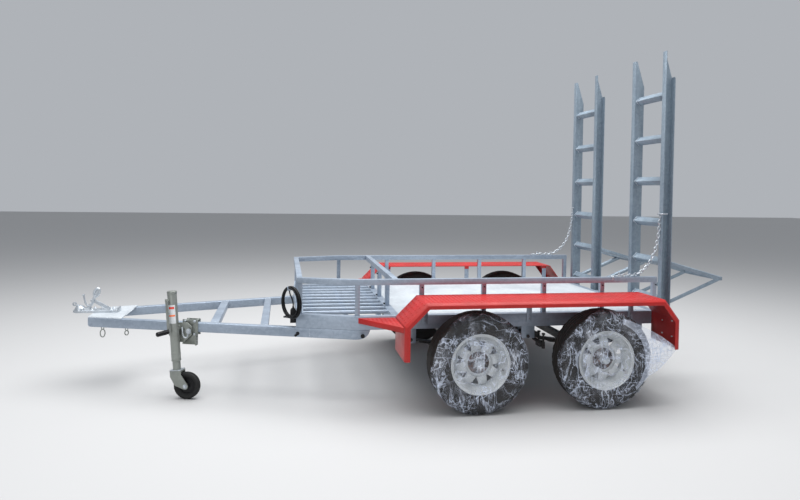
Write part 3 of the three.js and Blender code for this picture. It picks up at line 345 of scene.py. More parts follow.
def lathe(shape, profile, centre, axis, steps=48):
    """Closed (radius, along) profile spun about an axis through centre."""
    axis = Vector(axis).normalized()
    out = axis.orthogonal().normalized()
    middle = Vector(centre) * MM
    ring = [shape.verts.new(middle + (out * r + axis * a) * MM) for r, a in profile]
    lines = [shape.edges.new(pair) for pair in zip(ring, ring[1:] + ring[:1])]
    bmesh.ops.spin(
        shape, geom=ring + lines, cent=middle, axis=axis, angle=2 * math.pi,
        steps=steps, use_merge=True, use_normal_flip=False, use_duplicate=False,
    )
    bmesh.ops.remove_doubles(shape, verts=shape.verts, dist=1e-6)


def smooth_route(points, steps):
    """A smooth line through the points, with steps short pieces between neighbours."""
    ends = [2 * Vector(points[0]) - Vector(points[1]), 2 * Vector(points[-1]) - Vector(points[-2])]
    line = [ends[0], *map(Vector, points), ends[1]]
    route = []
    for before, a, b, after in zip(line, line[1:], line[2:], line[3:]):
        for step in range(steps):
            t = step / steps
            route.append(0.5 * (
                2 * a + (b - before) * t + (2 * before - 5 * a + 4 * b - after) * t * t
                + (3 * a - before - 3 * b + after) * t ** 3
            ))
    return route + [Vector(points[-1])]


def swept(route, radius, closed=False, roundness=2):
    """The mesh of a round bar bent along a route."""
    curve = bpy.data.curves.new("bent", "CURVE")
    curve.dimensions = "3D"
    curve.bevel_depth = radius * MM
    curve.bevel_resolution = roundness
    curve.use_fill_caps = True
    spline = curve.splines.new("POLY")
    spline.points.add(len(route) - 1)
    for point, where in zip(spline.points, route):
        point.co = (*(Vector(where) * MM), 1)
    spline.use_cyclic_u = closed
    bent = bpy.data.objects.new("bent", curve)
    bpy.context.scene.collection.objects.link(bent)
    mesh = bpy.data.meshes.new_from_object(bent.evaluated_get(bpy.context.evaluated_depsgraph_get()))
    bpy.data.objects.remove(bent)
    return mesh


def bent_rod(shape, points, radius, closed=False, steps=4, roundness=2):
    route = points if closed else smooth_route(points, steps)
    mesh = swept(route, radius, closed, roundness)
    shape.from_mesh(mesh)
    bpy.data.meshes.remove(mesh)


def settle(name, shape, finish, body, stands_for=(), setting=DRAWING, crease=32):
    """Puts a shape in its setting as a finished piece that rides on a body."""
    bmesh.ops.transform(shape, matrix=setting, verts=shape.verts)
    bmesh.ops.recalc_face_normals(shape, faces=shape.faces)
    mesh = bpy.data.meshes.new(name)
    shape.to_mesh(mesh)
    shape.free()
    mesh.shade_smooth()
    mesh.set_sharp_from_angle(angle=math.radians(crease))
    piece = bpy.data.objects.new(name, mesh)
    bpy.context.scene.collection.objects.link(piece)
    mesh.materials.append(finish)
    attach(piece, body)
    if stands_for:
        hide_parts(*stands_for)
    return piece

# %% [markdown]
# ## Floor and light
# A trailer yard on a bright overcast day: a huge soft light straight overhead whitens everything
# that faces up, and the sides get only the pale surroundings. One weaker panel on the near side
# puts long soft reflections into the zinc and the wrapping film.

# %% Studio
world = bpy.data.worlds.new("Studio")
world.use_nodes = True
world.node_tree.nodes["Background"].inputs["Color"].default_value = (0.86, 0.90, 0.96, 1)
world.node_tree.nodes["Background"].inputs["Strength"].default_value = 0.50
bpy.context.scene.world = world
bpy.context.scene.view_settings.view_transform = "Standard"


def panel(name, place, aim, size, watts):
    light_data = bpy.data.lights.new(name, "AREA")
    light_data.shape = "RECTANGLE"
    light_data.size, light_data.size_y = size
    light_data.energy = watts
    light = bpy.data.objects.new(name, light_data)
    bpy.context.scene.collection.objects.link(light)
    facing = (Vector(aim) - Vector(place)).to_track_quat("-Z", "Y").to_matrix().to_4x4()
    light.matrix_world = Matrix.Translation(Vector(place)) @ facing


panel("overhead", (0.2, 0.0, 5.5), (0.2, 0.0, 0.0), (8.0, 6.0), 640)
panel("near_side", (-3.5, -6.0, 3.5), (0.2, 0.0, 0.6), (4.0, 3.0), 70)

floor_shape = bmesh.new()
bmesh.ops.create_grid(floor_shape, x_segments=1, y_segments=1, size=30)
floor_mesh = bpy.data.meshes.new("floor")
floor_shape.to_mesh(floor_mesh)
floor_shape.free()
floor = bpy.data.objects.new("floor", floor_mesh)
bpy.context.scene.collection.objects.link(floor)
floor_paint = bpy.data.materials.new("floor_paint")
floor_paint.use_nodes = True
floor_shader = floor_paint.node_tree.nodes["Principled BSDF"]
floor_shader.inputs["Base Color"].default_value = (0.50, 0.50, 0.50, 1)
floor_shader.inputs["Roughness"].default_value = 0.9
floor.data.materials.append(floor_paint)

# %% [markdown]
# ## The trailer lead
# The lead is about three metres of nine-millimetre cable. It leaves a gland in the front
# crossmember, swings round to a coil that hangs from a rod hook at the corner, and its plug hangs
# behind the coil. A coil is wound in layers: it walks one way in the outer layer, steps in at the
# end and walks back in the inner one, so no turn passes through another. The turns bear on the
# hook together and spread a little at the bottom. One curve carries the whole length.

# %% Lay the lead
CABLE = 9.0
COIL_CENTRE = Vector((-34, -665, 677))
COIL_TURN = math.radians(-32)
coil_along = Vector((-math.sin(COIL_TURN), -math.cos(COIL_TURN), 0))
coil_axis = Vector((-math.cos(COIL_TURN), math.sin(COIL_TURN), 0))
COIL_TURNS = 4.53
OUTER_LAYER, INNER_LAYER = (98.0, 112.5), (88.0, 97.5)
PITCH = 9.6
WALK_OUT = 2.2

gland_route = [
    (-22.6, -470, 546), (-38, -470, 545.5), (-56, -475, 545), (-71, -490, 545.5), (-80, -514, 547.5),
    (-81, -542, 551), (-75, -570, 555.5), (-64, -600, 560.5), (-46, -632, 563.5),
]
plug_route = [
    (-43, -632, 754), (-46, -619, 738), (-41, -608, 714), (-31, -601, 690), (-23, -600, 666),
    (-20.5, -600, 648), (-20.5, -600, 634.3),
]


def eased(value):
    value = min(max(value, 0.0), 1.0)
    return value * value * (3 - 2 * value)


def coil_point(turns):
    """Where the cable is after so many turns from the coil's lowest point."""
    angle = math.radians(360 * turns - 90)
    droop = (1 - math.sin(angle)) / 2
    radii = [top + (bottom - top) * droop for top, bottom in (OUTER_LAYER, INNER_LAYER)]
    inward = eased((turns - 1.75) / 0.5)
    radius = radii[0] + (radii[1] - radii[0]) * inward
    walked = PITCH * (min(turns, WALK_OUT) - max(turns - WALK_OUT - 0.15, 0)) - PITCH
    return (COIL_CENTRE + coil_along * (radius * math.cos(angle)) + coil_axis * walked
            + Vector((0, 0, radius * math.sin(angle))))


COIL_STEPS = 150
wound = [coil_point(COIL_TURNS * step / COIL_STEPS) for step in range(COIL_STEPS + 1)]
lead_in = smooth_route([*gland_route, wound[0], wound[3]], 4)[:-5]
lead_out = smooth_route([wound[-4], wound[-1], *plug_route], 4)[5:]
lead_route = [*lead_in, *wound, *lead_out]
lead_curve = bpy.data.curves.new("trailer_lead", "CURVE")
lead_curve.dimensions = "3D"
lead_curve.bevel_depth = CABLE / 2 * MM
lead_curve.bevel_resolution = 3
lead_curve.use_fill_caps = True
lead_spline = lead_curve.splines.new("POLY")
lead_spline.points.add(len(lead_route) - 1)
for point, where in zip(lead_spline.points, lead_route):
    point.co = (*at(*where), 1)
lead_spline.use_smooth = True
trailer_lead = bpy.data.objects.new("trailer_lead", lead_curve)
bpy.context.scene.collection.objects.link(trailer_lead)
lead_curve.materials.append(cable_jacket)
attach(trailer_lead, "chassis")
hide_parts("lead_tube", "lead_coil", "lead_tail")
lead_length = sum((b - a).length for a, b in zip(lead_route, lead_route[1:])) * MM
print(f"lead {lead_length:.2f} m in {len(lead_route)} points")

# %% [markdown]
# The gland is a hexagon, a threaded shoulder and a tapered boot that stops the cable bending
# sharply where it leaves the steel. The plug is a flat block with a finger ridge on each face, a
# round neck for the cable and a cover held by two small screws.

# %% Gland and plug
gland_shape = bmesh.new()
rod(gland_shape, (-0.3, -470, 546), (-8, -470, 546), 11, 6, chamfer=0.8)
rod(gland_shape, (-7.5, -470, 546), (-12, -470, 546), 8.6, 20)
rod(gland_shape, (-11.5, -470, 546), (-22.4, -470, 546), 7.6, 20, tip=5.4)
gland = settle("lead_gland_boot", gland_shape, black_plastic, "chassis", ["lead_gland"])

plug_shape = bmesh.new()
block(plug_shape, (-39.5, -614, 523), (-1.5, -586, 612), 3.5)
block(plug_shape, (-36, -612, 608), (-5, -588, 620), 4)
for ridge in range(5):
    block(plug_shape, (-35, -615.4, 560 + ridge * 8), (-6, -584.6, 563.5 + ridge * 8), 0.8)
rod(plug_shape, (-20.5, -600, 618), (-20.5, -600, 634), 9, 20, tip=5.6)
for screw_z in (534, 548):
    rod(plug_shape, (-30, -615.6, screw_z), (-30, -613, screw_z), 2.4, 10, chamfer=0.3)
plug = settle("lead_plug_block", plug_shape, black_plastic, "chassis", ["lead_plug"])
at(*gland_route[0])

# %% [markdown]
# ## Rails, rungs and tubes
# Cold-formed steel never has a knife edge. The frame's members are already the right shape, so
# each is copied, its loose triangles are welded and cleaned into flat faces, and every corner gets
# the small radius of rolled section, which is what catches the light along a rail.

# %% Round the corners of the framework
def rounded(node, radius, finish, body="chassis", sharp=28.0):
    shape = bmesh.new()
    shape.from_mesh(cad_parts[node].data)
    bmesh.ops.remove_doubles(shape, verts=shape.verts, dist=2e-6)
    bmesh.ops.dissolve_limit(
        shape, angle_limit=math.radians(0.6), verts=shape.verts, edges=shape.edges,
    )
    bmesh.ops.recalc_face_normals(shape, faces=shape.faces)
    corners = [
        e for e in shape.edges
        if len(e.link_faces) == 2 and e.calc_face_angle(0) > math.radians(sharp)
    ]
    soften(shape, corners, radius)
    return settle(f"{node}_rolled", shape, finish, body, [node], Matrix(), crease=50)


SIDES = ("left", "right")
HANDS = (("left", -1), ("right", 1))


def mirrored_span(sign, inner, outer):
    """The low and high y of a span that lies on one side of the centreline."""
    return sorted((sign * inner, sign * outer))


for side in SIDES:
    rounded(f"chassis_rail_{side}", 3.0, galvanised)
    rounded(f"side_rail_{side}", 3.0, galvanised)
    rounded(f"drawbar_rail_{side}", 4.0, galvanised)
    rounded(f"ramp_ladder_{side}", 1.2, ramp_galvanised, f"ramp_{side}")
    rounded(f"ramp_prop_{side}", 1.5, ramp_galvanised, f"ramp_{side}")
    rounded(f"mudguard_{side}", 0.9, red_paint)
    rounded(f"side_step_{side}", 0.9, red_paint)
for node in ("front_crossmember", "rear_crossmember", "front_rail", "headboard",
             "drawbar_crossmember_front", "drawbar_crossmember_rear"):
    rounded(node, 2.5, galvanised)
rounded("nose_plate", 1.0, sheet_galvanised)

# %% Finish the solids that keep their own shape
def recoat(finish, *nodes):
    for node in nodes:
        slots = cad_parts[node].material_slots
        for material_slot in slots:
            material_slot.material = finish


recoat(sheet_galvanised, "floor_plate")
recoat(galvanised, "front_grille", "floor_frame")
recoat(black_steel, "axle_front", "axle_rear",
       *(f"{piece}_{side}" for side in SIDES
         for piece in ("leaf_spring_front", "leaf_spring_rear", "rocker")))

# %% [markdown]
# The mudguards stand on flat galvanised stays welded to the rail before the red sheet is fitted,
# so each stay's lower end is drawn up into the sheet and remade in zinc.

# %% Mudguard stays
STAY_STATIONS = (848, 1582, 2340)
STAY_INNER, STAY_OUTER = 775.6, 781
STAY_LIFT = 172
for side, sign in HANDS:
    guard = bpy.data.objects[f"mudguard_{side}_rolled"].data
    for vert in guard.vertices:
        x, y, z = (vert.co.x - DATUM_X) / MM, abs(vert.co.y) / MM, vert.co.z / MM
        if y < 782.5 and z < 560 and any(abs(x - station) < 22 for station in STAY_STATIONS):
            vert.co.z += STAY_LIFT * MM
    stays = bmesh.new()
    low_y, high_y = mirrored_span(sign, STAY_INNER, STAY_OUTER)
    for x in STAY_STATIONS:
        block(stays, (x - 19, low_y, 532), (x + 19, high_y, 712), 1)
        for z in (548, 574):
            rod(stays, (x, sign * 780, z), (x, sign * 787, z), 7, 6, chamfer=1.2)
    settle(f"guard_stays_{side}", stays, galvanised, "chassis")

# %% [markdown]
# ## Wheels
# A wheel is turned work: tyre, rim and hub are each a profile spun about the axle. What makes
# them real is what isn't round: tread blocks, eight windows in the disc, five nuts and a valve.
# One wheel is made with its face to the trailer's left and copied, mirrored for the right.

# %% Tyre, rim and hub profiles
WHEEL_STEPS = 72
ACROSS = Vector((0, 1, 0))


def tyre_shape():
    wall = [(179, 64), (187, 73), (199, 79.5), (216, 84.5), (228, 86), (230, 87.6), (234, 87.6), (236, 87),
            (252, 90.5), (268, 92.3), (281, 91.6), (283, 92.3), (287, 92.3), (289, 90.6), (300, 86.5)]
    shoulder = [(311, 80), (319, 71), (323, 62)]
    tread = [(324.4, 53), (324.6, 47), (317, 45.5), (317, 39.5), (325, 38), (325, 18), (317, 16.5),
             (317, 10.5), (325, 9)]
    half = wall + shoulder + tread
    profile = half + [(r, -a) for r, a in reversed(half)]
    shape = bmesh.new()
    lathe(shape, profile, (0, 0, 0), ACROSS, WHEEL_STEPS)
    blocks = []
    for face in shape.faces:
        centre = face.calc_center_median() / MM
        around = math.atan2(centre.x, centre.z) / (2 * math.pi) * WHEEL_STEPS
        if math.hypot(centre.x, centre.z) > 303 and abs(centre.y) > 55 and round(around - 0.5) % 2:
            blocks.append(face)
    bmesh.ops.recalc_face_normals(shape, faces=shape.faces)
    bmesh.ops.inset_region(shape, faces=blocks, thickness=0.0015, depth=-0.0035)
    return shape


def rim_shape():
    barrel = [(197, 78), (195.5, 82), (191.5, 84), (188.5, 81.5), (184, 70), (178, 62), (156, 22), (150, 10),
              (124, 32), (106, 34.5), (91, 33), (84, 21), (80, 20), (38, 20), (38, 15), (82, 15), (88, 26),
              (106, 28), (121, 26), (149, 3), (150, -10), (172, -50), (186, -78), (191.5, -84), (196, -82),
              (197, -78), (178, -64.5), (158, -14), (158, 20), (177.5, 63.5), (179, 75)]
    shape = bmesh.new()
    lathe(shape, barrel, (0, 0, 0), ACROSS, WHEEL_STEPS)
    return shape


def with_windows(shape):
    """Cuts the eight windows and the valve hole through the disc."""
    cutters = bmesh.new()
    for turn in range(8):
        spoke = Matrix.Rotation(math.radians(45 * turn + 14), 4, "Y")
        corners = [(-25, 136), (-21, 139), (21, 139), (25, 136), (2.5, 93), (-2.5, 93)]
        verts = [cutters.verts.new(spoke @ Vector((x * MM, -0.06, r * MM))) for x, r in corners]
        face = cutters.faces.new(verts)
        deep = bmesh.ops.extrude_face_region(cutters, geom=[face])
        moved = [v for v in deep["geom"] if isinstance(v, bmesh.types.BMVert)]
        bmesh.ops.translate(cutters, vec=(0, 0.12, 0), verts=moved)
    bmesh.ops.recalc_face_normals(cutters, faces=cutters.faces)
    parts = []
    for name, made in (("disc", shape), ("windows", cutters)):
        bmesh.ops.recalc_face_normals(made, faces=made.faces)
        mesh = bpy.data.meshes.new(name)
        made.to_mesh(mesh)
        made.free()
        part = bpy.data.objects.new(name, mesh)
        bpy.context.scene.collection.objects.link(part)
        parts.append(part)
    cutting = parts[0].modifiers.new("cut", "BOOLEAN")
    cutting.operation = "DIFFERENCE"
    cutting.object = parts[1]
    cutting.solver = "EXACT"
    cut = bpy.data.meshes.new_from_object(parts[0].evaluated_get(bpy.context.evaluated_depsgraph_get()))
    result = bmesh.new()
    result.from_mesh(cut)
    for part in parts:
        bpy.data.objects.remove(part)
    rims = [e for e in result.edges if e.is_manifold and e.calc_face_angle(0) > math.radians(60)
            and 0.090 < math.hypot(*((e.verts[0].co + e.verts[1].co) / 2).xz) < 0.142]
    soften(result, rims, 1.2, 2)
    return result


# The rim's profile is drawn with its face to +Y, so it is turned to face the trailer's left.
def wheel_parts(face_side):
    """The four shapes of a wheel, with their outer face towards face_side."""
    tyre = tyre_shape()
    rim = rim_shape()
    bmesh.ops.transform(rim, matrix=Matrix.Diagonal((1, -1, 1, 1)), verts=rim.verts)
    rim = with_windows(rim)
    hub, silver = bmesh.new(), bmesh.new()
    lathe(hub, [(18, 62), (37, 62), (37, 14), (70, 8), (70, -13.5), (37.4, -13.5), (37.4, -20.3),
                (37, -34), (34, -38), (28, -38), (28, -30), (18, -30)], (0, 0, 0), ACROSS, 40)
    lathe(hub, [(30, -20.4), (70.5, -20.4), (71, -23), (69, -23.6), (30, -23.6)], (0, 0, 0), ACROSS, 40)
    for stud in range(5):
        angle = math.radians(72 * stud + 18)
        x, z = 57 * math.sin(angle), 57 * math.cos(angle)
        rod(hub, (x, -13, z), (x, -21.5, z), 13.5, 20, chamfer=0.8)
        rod(hub, (x, -21, z), (x, -37, z), 10.5, 6, chamfer=1.6)
        rod(hub, (x, -36.5, z), (x, -41, z), 5.6, 12, chamfer=0.8)
    lathe(silver, [(0.01, -30), (27.4, -30), (27.4, -70), (26, -73.5), (22, -75.5), (10, -77.5), (0.01, -78)],
          (0, 0, 0), ACROSS, 36)
    lathe(silver, [(27.0, -38.5), (31.5, -38.5), (31.5, -42), (30, -43.2), (27.0, -43.2)],
          (0, 0, 0), ACROSS, 36)
    angle = math.radians(110)
    x, z = 166 * math.sin(angle), 166 * math.cos(angle)
    rod(hub, (x, -34, z), (x * 0.93, -74, z * 0.93), 5.2, 12, tip=3.6)
    for shape in (tyre, rim, hub, silver):
        if face_side > 0:
            bmesh.ops.transform(shape, matrix=Matrix.Diagonal((1, -1, 1, 1)), verts=shape.verts)
    return tyre, rim, hub, silver


# %% Put the four wheels on their bodies
WHEEL_TURNS = {"front": -4, "rear": 9}
wheel_centres = {}
for place in ("front", "rear"):
    for side, facing in HANDS:
        low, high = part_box(f"rim_{place}_{side}")
        centre = (low + high) / 2
        wheel_centres[place, side] = centre
        turned = Matrix.Rotation(math.radians(WHEEL_TURNS[place]), 4, "Y")
        setting = Matrix.Translation(centre) @ turned
        tyre, rim, hub, silver = wheel_parts(facing)
        body, end = f"wheel_{place}_{side}", f"{place}_{side}"
        settle(f"tyre_moulded_{end}", tyre, tyre_rubber, body, [f"tyre_{end}"], setting, 40)
        settle(f"rim_pressed_{end}", rim, wheel_paint, body, [f"rim_{end}"], setting, 40)
        settle(f"hub_drum_{end}", hub, rusty_steel, body, [f"hub_{end}"], setting)
        settle(f"hub_cap_{end}", silver, bright_zinc, body, (), setting)
print("wheel centres", {k: tuple(round(c, 3) for c in v) for k, v in wheel_centres.items()})

# %% [markdown]
# ## Wrapping film
# The near wheels are still in the clear film they were delivered in. It is stretched flat from
# one bulge of the tyre's wall to the other, dips a little over the open rim and clings round the
# tread's edge. The film is nearly invisible where it lies flat. Its opacity is drawn from thin
# ridges in a noise as pale streaks along the creases: partly the film's own whitening and partly
# painted highlight standing in for the sky reflected in them. The mesh carries creases of its own
# to catch the light.

# %% The film's own finish
def film_finish(name, thinnest):
    f = Finish(name)

    def ridges(scale, width, stretch, detail=2.0):
        pulled = f.stretched(stretch)
        field = f.node("ShaderNodeTexNoise", None,
                       {"Vector": pulled, "Scale": scale, "Detail": detail, "Distortion": 0.9})
        offset = field - 0.5
        apart = f.node("ShaderNodeMath", {"operation": "ABSOLUTE"}, {0: offset})
        return f.steps(apart, [(0.0, 1.0), (width, 0.0)])

    busy = f.steps(f.noise(4.5, 3.0), [(0.38, 0.0), (0.54, 1.0)])
    quiet = f.steps(f.noise(9.0, 2.0), [(0.34, 0.0), (0.52, 1.0)])
    # The ridges below are pale opaque streaks: partly the film's whitening at its creases, partly painted
    # highlight standing in for reflections along them.
    pulled_down = ridges(8.0, 0.032, (1.9, 1.0, 0.7)) * busy
    pulled_over = ridges(7.0, 0.028, (0.75, 1.0, 1.9)) * quiet
    crazing_and_glints = ridges(30.0, 0.05, (1.6, 1.0, 0.8), 4.0) * busy * quiet
    haze = f.steps(f.noise(7.0, 4.0, (1.5, 1.0, 0.8)), [(0.52, 0.0), (0.80, 1.0)])
    veil = pulled_down * 0.52 + pulled_over * 0.44 + crazing_and_glints * 0.38 + haze * 0.30 + thinnest
    return f.surface(
        f.mix(haze, (0.70, 0.77, 0.92), (0.90, 0.93, 1.0)), haze * 0.1 + 0.12,
        height=pulled_down + pulled_over, depth=0.0015, Alpha=veil,
    )


clear_film = film_finish("clear_film", 0.02)
loose_film = film_finish("loose_film", 0.34)

# %% Stretch the film over a wheel
FILM_WALL = [(0, -80), (60, -83), (120, -88), (185, -92.5), (215, -94), (250, -95), (285, -95), (300, -91),
             (312, -84.5), (320, -76), (325, -66), (326.5, -54), (326.5, -40), (326.5, -28)]


def film_point(share, angle, bare_from, bare_to, seed):
    """A point of the film; share runs from the hub to its edge, and it stops early where it is torn."""
    last = len(FILM_WALL) - 1
    middle, half = (bare_from + bare_to) / 2, (bare_to - bare_from) / 2
    off = abs((angle - middle + 180) % 360 - 180)
    torn = eased((half - off) / 35)
    rough = noise.noise(Vector((math.cos(math.radians(angle)), math.sin(math.radians(angle)), seed)) * 4)
    reach = last * (1 - 0.30 * torn) - 0.9 - rough * 0.9
    where = share * reach
    low = int(min(where, last - 1))
    part = where - low
    radius = FILM_WALL[low][0] * (1 - part) + FILM_WALL[low + 1][0] * part
    out = FILM_WALL[low][1] * (1 - part) + FILM_WALL[low + 1][1] * part
    x, z = radius * math.cos(math.radians(angle)), radius * math.sin(math.radians(angle))
    spot = Vector((x, z, seed * 100)) * 0.011
    crease = 1 - abs(noise.noise(spot)) * 2.6
    fine = 1 - abs(noise.noise(spot * 3.1)) * 2.4
    lift = 1.2 + max(crease, 0) ** 3 * 5.0 + max(fine, 0) ** 3 * 2.2
    if radius > 318:
        return Vector((x * (1 + lift * 0.0006), out, z * (1 + lift * 0.0006)))
    return Vector((x, out - lift, z))


def wrap_wheel(place, bare_from, bare_to, seed):
    rings, around = 62, 200
    shape = bmesh.new()
    bmesh.ops.create_grid(shape, x_segments=rings, y_segments=around, size=0.5)
    for vert in shape.verts:
        share, angle = vert.co.x + 0.5, (vert.co.y + 0.5) * 360
        vert.co = film_point(max(share, 0.0), angle, bare_from, bare_to, seed) * MM
    bmesh.ops.remove_doubles(shape, verts=shape.verts, dist=5e-6)
    setting = Matrix.Translation(wheel_centres[place, "left"])
    film = settle(f"film_{place}_wheel", shape, clear_film, f"wheel_{place}_left",
                  (), setting, 180)


wrap_wheel("front", 105, 205, 1.0)
wrap_wheel("rear", 92, 178, 2.0)

# %% [markdown]
# The rear wheel's film has come loose and its tail has caught on the bottom corner of the
# mudguard. It stays there while the wheel turns, so it rides on the chassis.

# %% The loose tail
TAIL_EDGE = [(96, 282), (165, 258), (234, 228), (305, 194), (373, 158), (440, 112), (488, 76), (488, 64),
             (430, 2), (368, -61), (330, -86), (296, -99), (250, -146), (205, -196)]
tail_shape = bmesh.new()
TAIL_ALONG, TAIL_OUT = 90, 40
bmesh.ops.create_grid(tail_shape, x_segments=TAIL_ALONG, y_segments=TAIL_OUT, size=0.5)
for vert in tail_shape.verts:
    along, out = (vert.co.x + 0.5) * (len(TAIL_EDGE) - 1), vert.co.y + 0.5
    step = int(min(along, len(TAIL_EDGE) - 2))
    edge_point = Vector(TAIL_EDGE[step]).lerp(Vector(TAIL_EDGE[step + 1]), along - step)
    angle = math.radians(70 - 112 * (vert.co.x + 0.5))
    held = Vector((262 * math.cos(angle), 262 * math.sin(angle)))
    flat_point = held.lerp(edge_point, out)
    spot = Vector((flat_point.x, flat_point.y, 700)) * 0.010
    wave = noise.noise(spot) * 9 + (1 - abs(noise.noise(spot * 2.7)) * 2.4) * 3
    stand = 105 + max(wave, -4) * eased(out * 2) - 3 * out
    vert.co = Vector((flat_point.x, -stand, flat_point.y)) * MM
tail = settle("film_tail", tail_shape, loose_film, "chassis", (),
              Matrix.Translation(wheel_centres["rear", "left"]), 180)

# %% [markdown]
# ## Jockey wheel
# The jockey swings on a bracket bolted through the left drawbar rail. Its tube leans a few
# degrees, so it is drawn upright in a setting of its own: along the rail, out from it, and tilted.
# Tube, fork and bracket are copied and rounded; the cap, crank, label, latch and bolts are made.

# %% The jockey's settings
FRONT_HALF, TRAY_HALF, CORNER_LONG = 650, 775, 380


def edge_y(x):
    """Half width of the drawbar and the tray's nose at a station."""
    return FRONT_HALF + x * (TRAY_HALF - FRONT_HALF) / CORNER_LONG


RAIL_TURN = -math.atan((TRAY_HALF - FRONT_HALF) / CORNER_LONG)
LEAN = math.radians(4.5)
PIVOT_X, PIVOT_Z = -700, 450
FOOT_X = -91 + PIVOT_Z * math.tan(LEAN)
jockey_setting = (DRAWING @ Matrix.Translation(Vector((PIVOT_X, -edge_y(PIVOT_X), 0)) * MM)
                  @ Matrix.Rotation(RAIL_TURN, 4, "Z"))
leg_setting = (jockey_setting @ Matrix.Translation(Vector((FOOT_X, -63, 0)) * MM)
               @ Matrix.Rotation(-LEAN, 4, "Y"))

rounded("jockey_bracket", 1.0, jockey_zinc)
rounded("jockey_tube", 1.0, jockey_zinc, "jockey_swing_arm", sharp=40)
rounded("jockey_fork", 1.0, jockey_zinc, "jockey_swivel_fork", sharp=40)

# %% Cap, crank and latch
cap = bmesh.new()
lathe(cap, [(0.01, 704), (31.6, 704), (32.6, 706), (32.6, 719), (30, 724), (22, 726.5), (0.01, 727)],
      (0, 0, 0), (0, 0, 1), 40)
for z in (300, 258):
    lathe(cap, [(30, z - 3), (31.9, z - 3), (31.9, z + 3), (30, z + 3)], (0, 0, 0), (0, 0, 1), 40)
settle("jockey_cap", cap, jockey_zinc, "jockey_swing_arm", (), leg_setting)

CRANK_TURN = math.radians(22)
CRANK_Z, CRANK_REACH, TUBE_RADIUS = 665, 210, 31
crank_setting = leg_setting @ Matrix.Rotation(-CRANK_TURN, 4, "Z")
arm_y = -TUBE_RADIUS - 0.3 - 16
grip_z = CRANK_Z - CRANK_REACH + 4
crank = bmesh.new()
rod(crank, (0, -31.3, CRANK_Z), (0, arm_y + 2, CRANK_Z), 9, 20)
rod(crank, (0, arm_y - 8, CRANK_Z), (0, arm_y + 1, CRANK_Z), 11, 6, chamfer=1.2)
bar(crank, (0, arm_y - 2.5, CRANK_Z + 12), (0, arm_y - 2.5, grip_z - 12), 20, 6, 2.0, (0, 1, 0))
rod(crank, (0, arm_y - 5, grip_z), (0, arm_y - 12, grip_z), 8, 16)
settle("jockey_crank_arm", crank, jockey_zinc, "jockey_swing_arm", (), crank_setting)
grip = bmesh.new()
lathe(grip, [(0.01, 5), (12, 5), (16, 8), (15, 14), (14.6, 40), (15.2, 78), (16, 88), (14, 94),
             (9, 96.5), (0.01, 97)], (0, arm_y, grip_z), (0, -1, 0), 28)
for ring in range(6):
    lathe(grip, [(14, 20 + ring * 10), (16, 21.5 + ring * 10), (16, 24 + ring * 10), (14, 25.5 + ring * 10)],
          (0, arm_y, grip_z), (0, -1, 0), 28)
settle("jockey_grip", grip, black_plastic, "jockey_swing_arm",
       ["jockey_crank"], crank_setting)


# %% The label, with its wording left out
def label(name, finish, low, high, radius, spread):
    shape = bmesh.new()
    start = math.radians(-90 - spread + 8)
    edge = [shape.verts.new(Vector((radius * math.cos(start), radius * math.sin(start), z)) * MM)
            for z in (low, high)]
    line = shape.edges.new(edge)
    bmesh.ops.spin(shape, geom=[*edge, line], cent=(0, 0, 0), axis=(0, 0, 1),
                   angle=math.radians(2 * spread), steps=16, use_duplicate=False)
    rim_faces = list(shape.faces)
    bmesh.ops.solidify(shape, geom=rim_faces, thickness=-0.0003)
    settle(name, shape, finish, "jockey_swing_arm", (), leg_setting, 60)


label("jockey_label", label_white, 509, 633, 31.25, 46)
label("jockey_label_red", label_red, 606, 621, 31.6, 34)
label("jockey_label_orange", label_orange, 556, 567, 31.6, 40)

# %% Latch handle, clamp bolts and pins
latch = bmesh.new()
bent_rod(latch, [(-52, -34, 474), (-46, -40, 456), (-40, -45, 428), (-30, -47, 410), (-14, -45, 408),
                 (-6, -40, 426), (-10, -36, 448)], 5.2, steps=5)
rod(latch, (0, -46, PIVOT_Z), (0, -55, PIVOT_Z), 15, 6, chamfer=1.5)
rod(latch, (0, -44, PIVOT_Z), (0, -46.5, PIVOT_Z), 19, 20, chamfer=0.5)
settle("jockey_latch", latch, bright_zinc, "jockey_swing_arm", (), jockey_setting)
clamps = bmesh.new()
for x in (-44, 26):
    for z in (511.4, 424.7):
        rod(clamps, (x, -6.5, z), (x, -14.5, z), 9.5, 6, chamfer=1.4)
        rod(clamps, (x, 58, z), (x, 67, z), 9.5, 6, chamfer=1.4)
    bent_rod(clamps, [(x - 4, 30, 501), (x + 2, 8, 506), (x + 5, -6, 513), (x + 7, -14, 517)], 5.0, steps=4)
for z in (366, 384, 402, 420):
    rod(clamps, (44, -20, z), (50, -20, z), 4.5, 12, chamfer=0.4)
settle("jockey_clamp_bolts", clamps, bright_zinc, "chassis", (), jockey_setting)

# %% Inner leg, fork fittings and road wheel
leg = bmesh.new()
lathe(leg, [(0.01, 191.3), (26, 191.3), (26.3, 193), (26, 196), (25.8, 600), (24, 602), (0.01, 602)],
      (0, 0, 0), (0, 0, 1), 40)
rod(leg, (0, 0, 171), (0, 0, 192), 12, 20)
settle("jockey_inner_leg", leg, jockey_zinc, "jockey_inner_leg", ["jockey_leg"], leg_setting)
TRAIL = 65
axle_z = (90 - TRAIL * math.sin(LEAN)) / math.cos(LEAN)
fork_fittings = bmesh.new()
for sign in (-1, 1):
    rod(fork_fittings, (TRAIL, sign * 34.5, axle_z), (TRAIL, sign * 42, axle_z), 11.5, 6, chamfer=1.4)
    rod(fork_fittings, (TRAIL, sign * 33.8, axle_z), (TRAIL, sign * 35.2, axle_z), 15, 20, chamfer=0.4)
bar(fork_fittings, (-37, 0, 193.4), (43, 0, 193.4), 70, 4, 1.5)
settle("jockey_fork_bolts", fork_fittings, bright_zinc, "jockey_swivel_fork",
       (), leg_setting)
wheel_low, wheel_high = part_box("jockey_wheel")
wheel_setting = Matrix.Translation((wheel_low + wheel_high) / 2) @ Matrix.Rotation(RAIL_TURN, 4, "Z")
